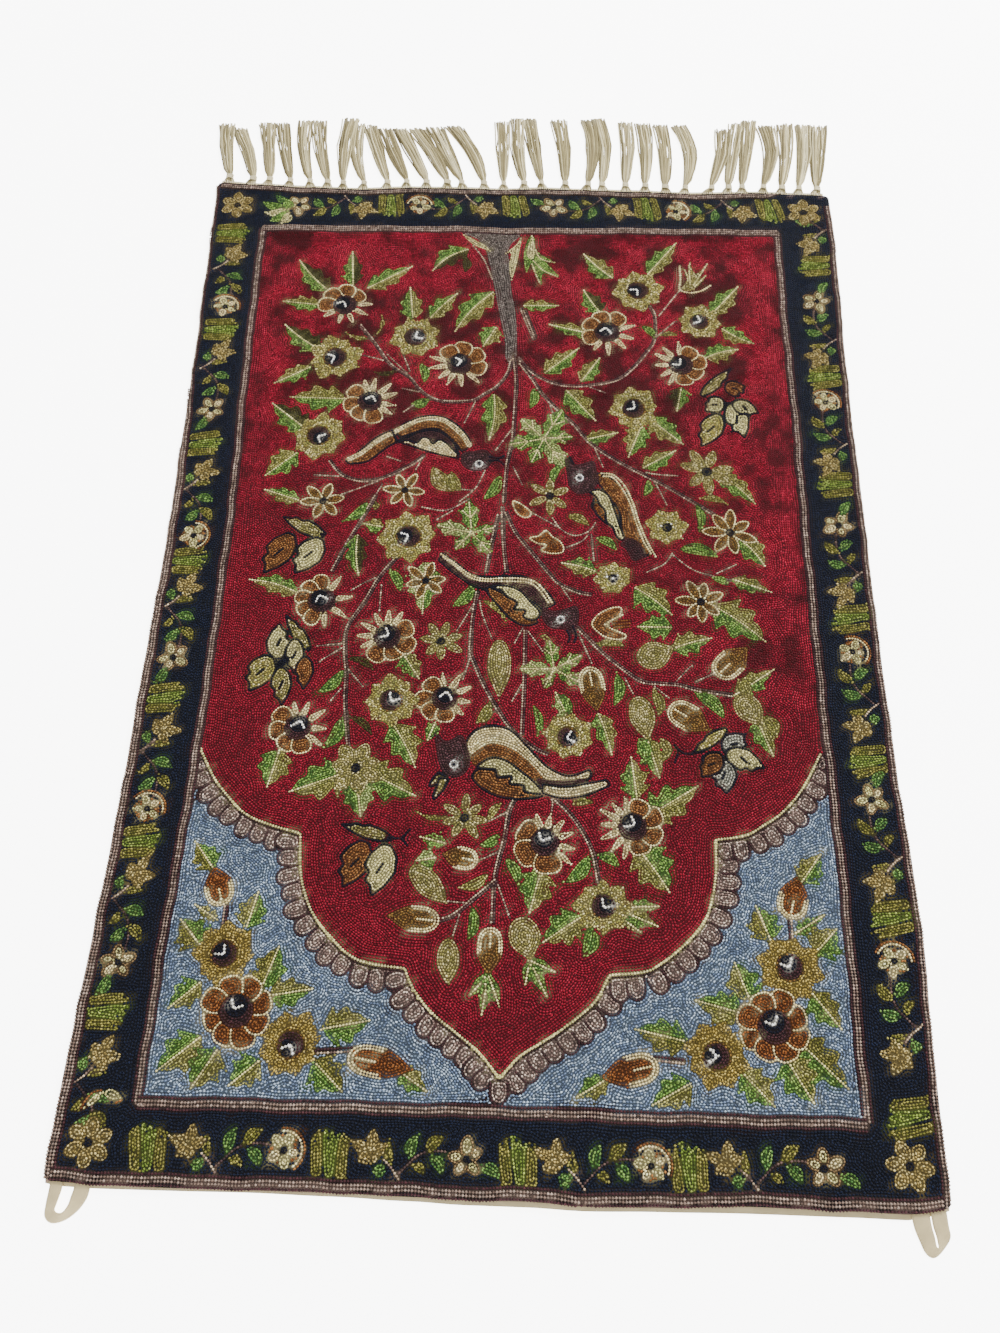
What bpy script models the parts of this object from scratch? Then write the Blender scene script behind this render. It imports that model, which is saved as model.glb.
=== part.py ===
"""Crewel embroidery panel, lying face up with its fringe away from the viewer.

A wool-covered cloth with a tree of life is lined with plain cotton. A knotted fringe is sewn
along the far edge, and two tape loops for hanging are caught in the seam of the near edge.
Metres, +Z up. The origin is on the underside, in the middle of the cloth, and +Y runs from
the loops to the fringe.
"""

import math

import bmesh
import bpy

MM = 0.001
GAP = 0.3 * MM

CLOTH_WIDTH = 610 * MM
CLOTH_LENGTH = 915 * MM
LINING_THICK = 1.0 * MM
STITCHED_THICK = 2.7 * MM
TAPE_THICK = 1.0 * MM
STITCHED_UNDERSIDE = LINING_THICK + GAP

GUARD_BAND = 12 * MM
GRID_STEP = 46 * MM
CORNER_ROUND = 6 * MM
CORNER_PULL = CORNER_ROUND * (1 - math.sqrt(0.5))

HEADING_WIDTH = 4.0 * MM
HEADING_THICK = 1.5 * MM
HEADING_ENDS = (-304 * MM, 301 * MM)
LOCKS_PER_TASSEL = 3
LOCK_GAP = 0.6 * MM

# The outline as it lies, in millimetres: the side edges' x at each y.
SIDE_EDGES = (
    # y, left, right
    (-457, -308.5, 305.5),
    (-400, -307.0, 305.3),
    (-350, -305.6, 306.2),
    (-290, -303.6, 308.0),
    (-230, -301.6, 307.0),
    (-150, -299.6, 304.5),
    (-50, -299.3, 303.0),
    (50, -298.6, 302.6),
    (150, -300.3, 302.2),
    (250, -301.6, 303.4),
    (350, -303.6, 306.0),
    (410, -306.4, 307.0),
    (457, -308.0, 306.0),
)

# The near edge of the stitched cloth and of its lining, which peeps out, and the far edge.
END_EDGES = (
    # x, near, lining near, far
    (-305, -458.0, -460.5, 464.0),
    (-270, -459.6, -461.6, 461.0),
    (-215, -460.2, -461.6, 458.6),
    (-170, -460.2, -461.3, 456.6),
    (-110, -460.2, -462.2, 459.8),
    (-60, -461.2, -463.6, 459.8),
    (-20, -462.4, -465.0, 458.6),
    (20, -462.0, -465.2, 460.8),
    (60, -464.0, -466.5, 459.6),
    (110, -463.3, -465.6, 458.8),
    (165, -461.0, -465.0, 456.8),
    (240, -462.0, -465.4, 459.0),
    (275, -462.8, -466.0, 458.0),
    (305, -459.0, -461.0, 457.4),
)

# Where the lying cloth lifts: the worn folds of its storage, and ripples along its edges.
RISES = (
    # x, y, half width, half length, height
    (125, 207, 190, 20, 2.2),
    (170, 12, 100, 22, 1.8),
    (0, 320, 40, 130, 1.3),
    (-306, 330, 60, 120, 2.8),
    (-300, -110, 50, 130, 2.0),
    (308, -262, 60, 120, 2.8),
    (303, 110, 55, 100, 2.0),
    (55, -464, 90, 60, 2.4),
    (-150, -460, 80, 55, 1.6),
)
FOLD_LINES = (12 * MM, 207 * MM)
FOLD_HALF = 20 * MM

# The tassels from left to right: x at the heading, at the knot, at half length and at the
# cut end, then how far in y the end lies and the width of the knot and of the end.
TASSELS = (
    # root, knot, middle, end, reach, knot width, end width
    (-297.0, -297.0, -304.0, -309.0, 547, 8, 13),
    (-275.0, -273.0, -281.5, -295.5, 541, 8, 12),
    (-258.0, -256.0, -260.5, -266.5, 549, 7, 13),
    (-236.0, -235.0, -243.0, -251.0, 549, 6, 14),
    (-214.0, -215.0, -224.0, -227.5, 553, 6, 13),
    (-197.0, -197.0, -206.0, -213.5, 553, 7, 12),
    (-181.0, -181.0, -183.5, -179.5, 557, 6, 8),
    (-161.0, -160.0, -170.5, -171.0, 549, 6, 7),
    (-137.0, -136.5, -147.5, -160.5, 548, 7, 13),
    (-117.0, -117.0, -130.0, -143.5, 543, 6, 14),
    (-97.0, -97.0, -111.0, -128.0, 543, 7, 15),
    (-76.0, -76.0, -90.5, -112.0, 544, 8, 15),
    (-60.0, -61.5, -76.0, -93.0, 546, 6, 20),
    (-38.0, -39.0, -49.0, -73.0, 548, 7, 15),
    (-19.0, -19.0, -20.0, -22.5, 555, 5, 13),
    (2.0, 1.5, -4.5, -6.5, 560, 7, 12),
    (20.0, 19.0, 13.5, 5.5, 560, 5, 10),
    (43.0, 43.0, 42.5, 36.0, 559, 7, 15),
    (64.0, 66.0, 71.5, 66.5, 559, 6, 8),
    (81.0, 80.0, 84.0, 77.0, 561, 7, 10),
    (104.0, 103.5, 106.5, 105.0, 557, 7, 12),
    (123.0, 123.5, 126.0, 123.0, 555, 7, 10),
    (144.0, 143.5, 145.5, 141.5, 553, 8, 12),
    (162.0, 163.5, 171.0, 160.5, 553, 6, 13),
    (185.0, 190.0, 201.0, 206.5, 548, 6, 10),
    (205.0, 207.0, 212.5, 221.0, 557, 7, 12),
    (220.0, 220.5, 226.0, 233.0, 561, 6, 9),
    (241.0, 242.0, 252.0, 250.0, 554, 6, 17),
    (259.0, 260.5, 267.0, 271.0, 557, 7, 14),
    (276.0, 277.5, 285.5, 288.0, 556, 6, 12),
    (293.0, 295.5, 299.5, 305.0, 555, 7, 17),
)

# Half length of a tassel lies here; its knot is set by the distance from the heading.
MIDDLE_Y = 505 * MM
LOWER_Y = 530 * MM
KNOT_START = 2.5 * MM
KNOT_END = 7.0 * MM
ROOT_WIDTH = 11 * MM
LOCK_HEIGHTS = (3.4 * MM, 3.4 * MM, 2.6 * MM, 2.4 * MM, 2.0 * MM)
CUT_UNEVEN = (-2.0 * MM, 0.5 * MM, 2.5 * MM, -0.5 * MM)

# Each tape loop from its left end round the point to its right end. The outer edge of the
# tape, then its inner edge, and the height of each above the surface.
LEFT_LOOP = (
    # outer x, outer y, outer z, inner x, inner y, inner z
    (-303.5, -450.0, 1.3, -295.0, -450.0, 1.3),
    (-303.4, -456.0, 1.3, -294.9, -456.0, 1.3),
    (-303.3, -462.6, 1.3, -294.8, -462.6, 1.3),
    (-304.0, -472.0, 0.0, -296.0, -470.5, 2.4),
    (-303.2, -479.5, 0.0, -296.2, -475.0, 4.2),
    (-298.0, -483.0, 0.0, -293.8, -476.8, 4.8),
    (-289.5, -480.8, 0.0, -290.6, -476.2, 4.8),
    (-282.0, -475.0, 0.0, -288.0, -472.0, 4.4),
    (-277.2, -468.0, 0.4, -287.2, -467.0, 3.2),
    (-275.8, -462.6, 1.3, -286.6, -462.6, 1.4),
    (-275.9, -456.0, 1.3, -286.5, -456.0, 1.3),
    (-276.0, -450.0, 1.3, -286.4, -450.0, 1.3),
)
RIGHT_LOOP = (
    # outer x, outer y, outer z, inner x, inner y, inner z
    (278.3, -450.0, 1.3, 289.8, -450.0, 1.3),
    (278.6, -467.4, 1.3, 290.6, -467.4, 1.3),
    (282.4, -479.0, 0.0, 292.2, -475.5, 0.6),
    (285.4, -485.6, 0.0, 292.6, -480.6, 1.4),
    (290.2, -487.8, 0.0, 293.1, -481.6, 1.8),
    (296.4, -483.4, 0.0, 293.7, -481.2, 1.8),
    (302.6, -475.8, 0.0, 293.3, -475.0, 0.9),
    (302.0, -467.4, 1.3, 291.6, -467.4, 1.3),
    (301.3, -450.0, 1.3, 290.8, -450.0, 1.3),
)
LOOP_STEPS = 2
TUCK_CORNERS = ((-290 * MM, -456 * MM), (290 * MM, -456 * MM))
TUCK_FLAT = 62 * MM
TUCK_FADE = 60 * MM


def read_table(table, column, at):
    """The value of a table's column at a place in millimetres, between rows along a cosine."""
    if at <= table[0][0]:
        return table[0][column]
    for low, high in zip(table, table[1:]):
        if at <= high[0]:
            along = (at - low[0]) / (high[0] - low[0])
            ease = (1 - math.cos(math.pi * along)) / 2
            return low[column] + (high[column] - low[column]) * ease
    return table[-1][column]


def left_edge(y):
    return read_table(SIDE_EDGES, 1, y / MM) * MM


def right_edge(y):
    return read_table(SIDE_EDGES, 2, y / MM) * MM


def near_edge(x):
    return read_table(END_EDGES, 1, x / MM) * MM


def lining_near_edge(x):
    return read_table(END_EDGES, 2, x / MM) * MM


def far_edge(x):
    return read_table(END_EDGES, 3, x / MM) * MM


def rise(x, y):
    """How far the cloth stands off the surface here."""
    total = 0.0
    for at_x, at_y, half_x, half_y, height in RISES:
        across = abs(x / MM - at_x) / half_x
        along = abs(y / MM - at_y) / half_y
        if across < 1 and along < 1:
            crest = math.cos(math.pi / 2 * across) * math.cos(math.pi / 2 * along)
            total += height * MM * crest**2
    return total


def tuck(x, y):
    """How much the stitched cloth is raised by the tape ends that lie under its corners."""
    share = 0.0
    for corner_x, corner_y in TUCK_CORNERS:
        away = math.hypot(x - corner_x, y - corner_y)
        fade = min(max((away - TUCK_FLAT) / TUCK_FADE, 0.0), 1.0)
        share = max(share, (1 + math.cos(math.pi * fade)) / 2)
    return share * (TAPE_THICK + GAP)


def stations(half, stops):
    """Grid lines from -half to half: both ends, the guard bands, each stop, and even steps."""
    inner = half - GUARD_BAND
    fixed = sorted({-half, -inner, *stops, inner, half})
    lines = [fixed[0]]
    for start, end in zip(fixed, fixed[1:]):
        steps = math.ceil((end - start) / GRID_STEP)
        lines += [start + (end - start) * (step + 1) / steps for step in range(steps)]
    return lines


def principled(name, colour, roughness):
    material = bpy.data.materials.new(name)
    material.use_nodes = True
    shader = material.node_tree.nodes["Principled BSDF"]
    shader.inputs["Base Color"].default_value = (*colour, 1)
    shader.inputs["Roughness"].default_value = roughness
    shader.inputs["Metallic"].default_value = 0.0
    return material


def add_object(name, bm, material):
    mesh = bpy.data.meshes.new(name)
    bm.to_mesh(mesh)
    bm.free()
    mesh.materials.append(material)
    mesh.shade_smooth()
    mesh.set_sharp_from_angle(angle=math.radians(40))
    piece = bpy.data.objects.new(name, mesh)
    panel.objects.link(piece)
    return piece


def thicken(piece, thickness):
    """Grows a closed sheet upwards from the surface that was modelled."""
    shell = piece.modifiers.new("thickness", "SOLIDIFY")
    shell.thickness = thickness
    shell.offset = 1.0


def cloth_lines():
    """The grid lines of a cloth, across and along it, with three on each fold."""
    folds = [line + side * FOLD_HALF for line in FOLD_LINES for side in (-1, 0, 1)]
    return stations(CLOTH_WIDTH / 2, ()), stations(CLOTH_LENGTH / 2, folds)


def cloth_point(xs, ys, column, row, near):
    """Where two grid lines of a cloth cross, inside its uneven outline."""
    across = xs[column] / CLOTH_WIDTH + 0.5
    along = ys[row] / CLOTH_LENGTH + 0.5
    x = left_edge(ys[row]) + (right_edge(ys[row]) - left_edge(ys[row])) * across
    y = near(x) + (far_edge(x) - near(x)) * along
    if column in (0, len(xs) - 1) and row in (0, len(ys) - 1):
        x -= math.copysign(CORNER_PULL, x)
        y -= math.copysign(CORNER_PULL, y)
    return x, y


def heading_inner(x):
    """The y of the heading's inner side, which keeps its gap to the cloth's straight stretches."""
    xs, ys = cloth_lines()
    line = [cloth_point(xs, ys, column, len(ys) - 1, near_edge) for column in range(len(xs))]
    for low, high in zip(line, line[1:]):
        if x <= high[0]:
            break
    along = (x - low[0]) / (high[0] - low[0])
    return low[1] + (high[1] - low[1]) * along + GAP


def make_cloth(name, near, underside, thickness, material):
    """A cloth between the side edges, the given near edge and the far edge."""
    xs, ys = cloth_lines()
    bm = bmesh.new()
    bmesh.ops.create_grid(bm, x_segments=len(xs) - 1, y_segments=len(ys) - 1, size=1.0)
    for vert in bm.verts:
        column = round((vert.co.x + 1) / 2 * (len(xs) - 1))
        row = round((vert.co.y + 1) / 2 * (len(ys) - 1))
        x, y = cloth_point(xs, ys, column, row, near)
        vert.co = (x, y, underside(x, y))
    cloth = add_object(name, bm, material)
    thicken(cloth, thickness)
    return cloth


def make_lining():
    cotton = principled("cream cotton cloth", (0.60, 0.53, 0.40), 0.9)
    return make_cloth("backing_cloth", lining_near_edge, rise, LINING_THICK, cotton)


def make_stitched_cloth():
    def underside(x, y):
        return rise(x, y) + STITCHED_UNDERSIDE + tuck(x, y)

    wool = principled("red wool chain stitch", (0.27, 0.011, 0.019), 0.85)
    return make_cloth("embroidered_panel", near_edge, underside, STITCHED_THICK, wool)


def smooth_rows(rows, steps):
    """The rows with more between them, on a curve through them all."""
    more = [rows[0]]
    for index in range(len(rows) - 1):
        before = rows[max(index - 1, 0)]
        start, end = rows[index], rows[index + 1]
        after = rows[min(index + 2, len(rows) - 1)]
        for step in range(1, steps + 1):
            t = step / steps
            weights = (
                (-(t**3) + 2 * t**2 - t) / 2,
                (3 * t**3 - 5 * t**2 + 2) / 2,
                (-3 * t**3 + 4 * t**2 + t) / 2,
                (t**3 - t**2) / 2,
            )
            values = zip(before, start, end, after)
            more.append([sum(w * v for w, v in zip(weights, four)) for four in values])
    return more


def make_loop(name, rows, material):
    """A tape loop: a band between its outer and its inner edge, then thickened."""
    sections = smooth_rows(rows, LOOP_STEPS)
    bm = bmesh.new()
    bmesh.ops.create_grid(bm, x_segments=len(sections) - 1, y_segments=1, size=1.0)
    for vert in bm.verts:
        section = sections[round((vert.co.x + 1) / 2 * (len(sections) - 1))]
        x, y, z = section[:3] if vert.co.y < 0 else section[3:]
        vert.co = (x * MM, y * MM, max(z, 0.0) * MM)
    loop = add_object(name, bm, material)
    thicken(loop, TAPE_THICK)
    return loop


def curve_through(at, places, values):
    """The value at a place on the parabola through three."""
    total = 0.0
    for index, value in enumerate(values):
        share = 1.0
        for other, place in enumerate(places):
            if other != index:
                share *= (at - place) / (places[index] - place)
        total += share * value
    return total


def tassel_sections(tassel):
    """The tassel's centre x, y and width at its knot, its middle and its end."""
    root, knot, middle, end, reach, knot_width, end_width = (value * MM for value in tassel)
    heading = heading_inner(root) + HEADING_WIDTH
    places = (heading + KNOT_END, MIDDLE_Y, reach)
    lower = curve_through(LOWER_Y, places, (knot, middle, end))
    widths = [knot_width + (end_width - knot_width) * share for share in (0.0, 0.0, 0.4, 0.75, 1.0)]
    centres = ((root + knot) / 2, knot, middle, lower, end)
    ys = (heading + KNOT_START, heading + KNOT_END, MIDDLE_Y, LOWER_Y, reach)
    return list(zip(centres, ys, widths))


def lock_span(centre, width, lock):
    """The left and right x of one lock of a tassel that is this wide."""
    lock_width = (width - LOCK_GAP * (LOCKS_PER_TASSEL - 1)) / LOCKS_PER_TASSEL
    left = centre - width / 2 + lock * (lock_width + LOCK_GAP)
    return left, left + lock_width


def extrude_to(bm, face, place):
    """Extrudes one face and puts each new corner where place says, from where it was."""
    face = bmesh.ops.extrude_discrete_faces(bm, faces=[face])["faces"][0]
    middle = face.calc_center_median()
    for vert in face.verts:
        vert.co = place(vert.co - middle, vert.co)
    return face


def make_lock(bm, face, sections, lock, uneven):
    """One lock of a tassel, drawn out of a side face of the heading and cut a little unevenly."""
    (last_x, last_y, _), (end_x, end_y, end_width) = sections[-2:]
    lean = (end_x - last_x) / (end_y - last_y)
    cut = (end_x + lean * uneven, end_y + uneven, end_width)
    for (centre, y, width), height in zip(sections[:-1] + [cut], LOCK_HEIGHTS):
        left, right = lock_span(centre, width, lock)

        def place(side, _corner, left=left, right=right, y=y, height=height):
            return (left if side.x < 0 else right, y, 0.0 if side.z < 0 else height)

        face = extrude_to(bm, face, place)


def make_fringe():
    """The heading is drawn out from left to right, and each lock then grows from a side face."""
    cotton = principled("undyed cotton yarn", (0.58, 0.50, 0.36), 0.9)
    stops = [(HEADING_ENDS[0], None)]
    for tassel in TASSELS:
        sections = tassel_sections(tassel)
        for lock in range(LOCKS_PER_TASSEL):
            left, right = lock_span(tassel[0] * MM, ROOT_WIDTH, lock)
            stops += [(left, None), (right, (sections, lock))]
    stops.append((HEADING_ENDS[1], None))
    bm = bmesh.new()
    bmesh.ops.create_grid(bm, x_segments=1, y_segments=1, size=1.0)
    cap = next(iter(bm.faces))
    start = stops[0][0]
    inner = heading_inner(start)
    for vert in bm.verts:
        y = inner if vert.co.x < 0 else inner + HEADING_WIDTH
        vert.co = (start, y, 0.0 if vert.co.y < 0 else HEADING_THICK)
    first = cap.copy()
    first.normal_flip()
    locks = []
    for x, carried in stops[1:]:
        inner = heading_inner(x)

        def place(side, corner, x=x, inner=inner):
            return (x, inner if side.y < 0 else inner + HEADING_WIDTH, corner.z)

        before = set(bm.faces)
        cap = extrude_to(bm, cap, place)
        if carried:
            sides = [face for face in bm.faces if face not in before and face != cap]
            locks.append((max(sides, key=lambda face: face.calc_center_median().y), carried))
    bmesh.ops.recalc_face_normals(bm, faces=bm.faces)
    for index, (face, (sections, lock)) in enumerate(locks):
        make_lock(bm, face, sections, lock, CUT_UNEVEN[index % len(CUT_UNEVEN)])
    bmesh.ops.recalc_face_normals(bm, faces=bm.faces)
    return add_object("fringe", bm, cotton)


for old in list(bpy.data.objects):
    bpy.data.objects.remove(old, do_unlink=True)
panel = bpy.data.collections.new("crewel embroidery panel")
bpy.context.scene.collection.children.link(panel)

make_lining()
make_stitched_cloth()
make_fringe()
tape = principled("cream cotton tape", (0.66, 0.58, 0.43), 0.9)
make_loop("loop_left", LEFT_LOOP, tape)
make_loop("loop_right", RIGHT_LOOP, tape)
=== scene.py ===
# %% [markdown]
# # A crewel embroidery panel
#
# The real thing is a cotton cloth, 610 by 915 mm, covered all over with wool chain stitch that is
# worked from above with a hook. It has a plain lining, a knotted cotton fringe on its far edge
# and two tape loops on its near edge, and it lies flat on a pale surface.
#
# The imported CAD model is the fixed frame: every piece below goes where its solid is. The work
# goes as the maker's does: first the pattern is drawn on the cloth, then each shape is filled
# with rows of stitches, and last come the lining, the fringe and the tapes.

import math

import bmesh
import bpy
import numpy as np
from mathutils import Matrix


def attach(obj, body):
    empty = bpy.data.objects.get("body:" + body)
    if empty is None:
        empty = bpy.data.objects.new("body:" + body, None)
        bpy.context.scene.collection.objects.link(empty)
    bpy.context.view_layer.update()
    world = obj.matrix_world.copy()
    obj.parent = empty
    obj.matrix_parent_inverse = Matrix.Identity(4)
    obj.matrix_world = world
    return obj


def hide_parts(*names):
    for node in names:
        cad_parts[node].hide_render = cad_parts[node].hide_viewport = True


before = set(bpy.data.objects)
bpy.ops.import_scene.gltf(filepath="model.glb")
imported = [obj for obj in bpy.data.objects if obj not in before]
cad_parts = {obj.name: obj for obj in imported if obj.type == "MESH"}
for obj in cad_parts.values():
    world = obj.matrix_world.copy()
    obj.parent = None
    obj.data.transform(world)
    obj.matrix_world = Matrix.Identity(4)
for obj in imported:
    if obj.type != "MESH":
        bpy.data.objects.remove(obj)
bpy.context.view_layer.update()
chance = np.random.default_rng(73)
MM = 0.001
for node in sorted(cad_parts):
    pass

# %% [markdown]
# ## The outline as it lies
#
# No hand-made cloth is a true rectangle. Two short tables give where its edges lie, in
# millimetres, and another gives the soft rises where the cloth was folded in storage. They are
# the same values that the solids were made from, so each piece sits where its solid is.

# %% The outline and the rises, in millimetres
SIDE_EDGES = np.array([
    # y, left, right
    (-457, -308.5, 305.5), (-400, -307.0, 305.3), (-350, -305.6, 306.2), (-290, -303.6, 308.0),
    (-230, -301.6, 307.0), (-150, -299.6, 304.5), (-50, -299.3, 303.0), (50, -298.6, 302.6),
    (150, -300.3, 302.2), (250, -301.6, 303.4), (350, -303.6, 306.0), (410, -306.4, 307.0),
    (457, -308.0, 306.0),
])
END_EDGES = np.array([
    # x, near, lining near, far
    (-305, -458.0, -460.5, 464.0), (-270, -459.6, -461.6, 461.0), (-215, -460.2, -461.6, 458.6),
    (-170, -460.2, -461.3, 456.6), (-110, -460.2, -462.2, 459.8), (-60, -461.2, -463.6, 459.8),
    (-20, -462.4, -465.0, 458.6), (20, -462.0, -465.2, 460.8), (60, -464.0, -466.5, 459.6),
    (110, -463.3, -465.6, 458.8), (165, -461.0, -465.0, 456.8), (240, -462.0, -465.4, 459.0),
    (275, -462.8, -466.0, 458.0), (305, -459.0, -461.0, 457.4),
])
RISES = (
    # x, y, half width, half length, height
    (125, 207, 190, 20, 2.2), (170, 12, 100, 22, 1.8), (0, 320, 40, 130, 1.3), (-306, 330, 60, 120, 2.8),
    (-300, -110, 50, 130, 2.0), (308, -262, 60, 120, 2.8), (303, 110, 55, 100, 2.0),
    (55, -464, 90, 60, 2.4), (-150, -460, 80, 55, 1.6),
)
WIDTH, LENGTH = 610.0, 915.0
LINING_THICK, GAP, TAPE_THICK = 1.0, 0.3, 1.0
GROUND_UNDER = LINING_THICK + GAP
TAPE_AT = (290, -456)  # the middle of the right tape's end; the left one mirrors it
TAPE_BUMP, TAPE_FADE = 62, 60  # how far the bump over a tape stays full, and then dies away


def read_table(table, column, at):
    """A table's value at each place, between its rows along a cosine."""
    at = np.clip(np.asarray(at, float), table[0, 0], table[-1, 0])
    row = np.clip(np.searchsorted(table[:, 0], at, side="right") - 1, 0, len(table) - 2)
    share = (at - table[row, 0]) / (table[row + 1, 0] - table[row, 0])
    ease = (1 - np.cos(np.pi * share)) / 2
    return table[row, column] * (1 - ease) + table[row + 1, column] * ease


def left_edge(y):
    return read_table(SIDE_EDGES, 1, y)


def right_edge(y):
    return read_table(SIDE_EDGES, 2, y)


def near_edge(x):
    return read_table(END_EDGES, 1, x)


def far_edge(x):
    return read_table(END_EDGES, 3, x)


def rise(x, y):
    """How far the lying cloth stands off the surface at each place."""
    total = np.zeros(np.broadcast(x, y).shape)
    for at_x, at_y, half_x, half_y, height in RISES:
        across = np.clip(np.abs(x - at_x) / half_x, 0, 1)
        along = np.clip(np.abs(y - at_y) / half_y, 0, 1)
        total = total + height * (np.cos(np.pi / 2 * across) * np.cos(np.pi / 2 * along)) ** 2
    return total


def tuck(x, y):
    """How much the stitched cloth is raised by the tape ends under its two near corners."""
    away = np.minimum(*(np.hypot(x - side * TAPE_AT[0], y - TAPE_AT[1]) for side in (-1, 1)))
    fade = np.clip((away - TAPE_BUMP) / TAPE_FADE, 0, 1)
    return (1 + np.cos(np.pi * fade)) / 2 * (TAPE_THICK + GAP)


print("near edge at the middle:", float(near_edge(0)), "mm")

# %% [markdown]
# ## Drawing the pattern
#
# A worker first draws the pattern on the cloth. Here the drawing is a fine grid of cells, each
# holding the number of the shape that covers it, and every shape remembers its yarn. Painting
# shapes in order, from the back ones to the front ones, is like laying paper cut-outs on each
# other. A grid was chosen over outlines because it answers at once how far any place is from
# the nearest edge, and the rows of stitches follow exactly that.

# %% The drawing grid and how to paint on it
CELL = 0.6
GRID_LEFT, GRID_NEAR = -315.0, -470.0
COLUMNS, ROWS = 1050, 1570
cell_x = GRID_LEFT + (np.arange(COLUMNS) + 0.5) * CELL
cell_y = GRID_NEAR + (np.arange(ROWS) + 0.5) * CELL
shape_at = np.zeros((ROWS, COLUMNS), np.int32)
yarn_of_shape = ["none"]
single_rows = []


def window(low, high):
    """The part of the grid between two corners, as row and column slices."""
    c0, c1 = np.searchsorted(cell_x, (low[0], high[0]))
    r0, r1 = np.searchsorted(cell_y, (low[1], high[1]))
    return slice(r0, r1), slice(c0, c1)


def cell_at(x, y):
    """The row and the column of the cell that holds each place."""
    return (np.clip((y - GRID_NEAR) / CELL, 0, ROWS - 1).astype(int),
            np.clip((x - GRID_LEFT) / CELL, 0, COLUMNS - 1).astype(int))


def new_shape(yarn):
    yarn_of_shape.append(yarn)
    return len(yarn_of_shape) - 1


def fill(outline, yarn, ground=False):
    """Paints a closed outline with one yarn."""
    outline = np.asarray(outline, float)
    rows, columns = window(outline.min(0), outline.max(0))
    xs, ys = cell_x[columns], cell_y[rows]
    inside = np.zeros((len(ys), len(xs)), bool)
    for (ax, ay), (bx, by) in zip(outline, np.roll(outline, -1, 0)):
        if ay == by:
            continue
        span = (ys >= min(ay, by)) & (ys < max(ay, by))
        cross = ax + (ys[span] - ay) * (bx - ax) / (by - ay)
        inside[span] ^= xs[None, :] > cross[:, None]
    number = new_shape(yarn)
    part = shape_at[rows, columns]
    part[inside if ground else inside & (part > 0)] = number
    return number


def between(p0, p1, p2, p3, t):
    """A point of the smooth curve that runs from p1 to p2, on its way from p0 to p3."""
    return 0.5 * (2 * p1 + (p2 - p0) * t + (2 * p0 - 5 * p1 + 4 * p2 - p3) * t**2
                  + (3 * p1 - p0 - 3 * p2 + p3) * t**3)


def smooth(points, step=1.5, closed=False):
    """A smooth curve through the points, with a point about every step millimetres."""
    points = np.asarray(points, float)
    if closed:
        padded = np.vstack([points[-1], points, points[0], points[1]])
    else:
        first, last = 2 * points[0] - points[1], 2 * points[-1] - points[-2]
        padded = np.vstack([first, points, last])
    curve = []
    for p0, p1, p2, p3 in zip(padded, padded[1:], padded[2:], padded[3:]):
        count = max(2, int(np.hypot(*(p2 - p1)) / step))
        t = np.linspace(0, 1, count, endpoint=False)[:, None]
        curve.append(between(p0, p1, p2, p3, t))
    if not closed:
        curve.append(points[-1:])
    return np.vstack(curve)


def row(path, yarn, width=2.3, closed=False):
    """One row of chain stitch worked along a path: painted, and kept to be stitched as it is."""
    path = np.asarray(path, float)
    if closed:
        path = np.vstack([path, path[:1]])
    number = new_shape(yarn)
    for a, b in zip(path, path[1:]):
        rows, columns = window(np.minimum(a, b) - width, np.maximum(a, b) + width)
        xs, ys = cell_x[columns][None, :], cell_y[rows][:, None]
        line = b - a
        share = np.clip(((xs - a[0]) * line[0] + (ys - a[1]) * line[1]) / max(line @ line, 1e-9), 0, 1)
        away = np.hypot(xs - a[0] - share * line[0], ys - a[1] - share * line[1])
        part = shape_at[rows, columns]
        part[(away < width / 2) & (part > 0)] = number
    single_rows.append((path, number, width))


def strand(points, yarn, width):
    """A single row along a smooth curve."""
    row(smooth(points, 2), yarn, width)


def place(points, x, y, turn=0.0, size=1.0):
    """Points drawn about the origin, scaled, turned by degrees and moved."""
    c, s = math.cos(math.radians(turn)), math.sin(math.radians(turn))
    return np.asarray(points, float) * size @ np.array([[c, s], [-s, c]]) + (x, y)


def round_outline(radius, lobes=0, depth=0.0, count=40):
    """A circle about the origin, scalloped into lobes."""
    angle = np.linspace(0, 2 * np.pi, max(count, lobes * 10), endpoint=False)
    reach = radius * (1 - depth * (1 - np.abs(np.sin(angle * lobes / 2)))) if lobes else radius
    return np.stack([reach * np.cos(angle), reach * np.sin(angle)], 1)


def disc(x, y, radius, yarn):
    fill(place(round_outline(radius), x, y), yarn)


def sideways(path):
    """A unit vector at each point of a path, a quarter turn left of the way it runs."""
    way = np.gradient(path, axis=0)
    return np.stack([-way[:, 1], way[:, 0]], 1) / np.maximum(np.hypot(*way.T), 1e-9)[:, None]


def band_outline(path, widths):
    """The outline of a band along a curve, with its width eased between the given ones."""
    path = smooth(path)
    width = np.interp(np.linspace(0, 1, len(path)), np.linspace(0, 1, len(widths)), widths) / 2
    side = sideways(path) * width[:, None]
    return np.vstack([path + side, (path - side)[::-1]])


def aim(x0, y0, x1, y1):
    """How far it is from one place to the other, and which way in degrees."""
    return math.hypot(x1 - x0, y1 - y0), math.degrees(math.atan2(y1 - y0, x1 - x0))


# %% [markdown]
# ## The grounds
#
# The pattern is a tree of life in an arched niche, an old pattern that many workshops stitch.
# Its grounds come first: the navy border over the whole cloth, the red field, the two blue
# corners below the arch, and the row of taupe scallops that follows the arch. Each scallop is
# drawn by walking along the arch and setting one down every few steps.

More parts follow.
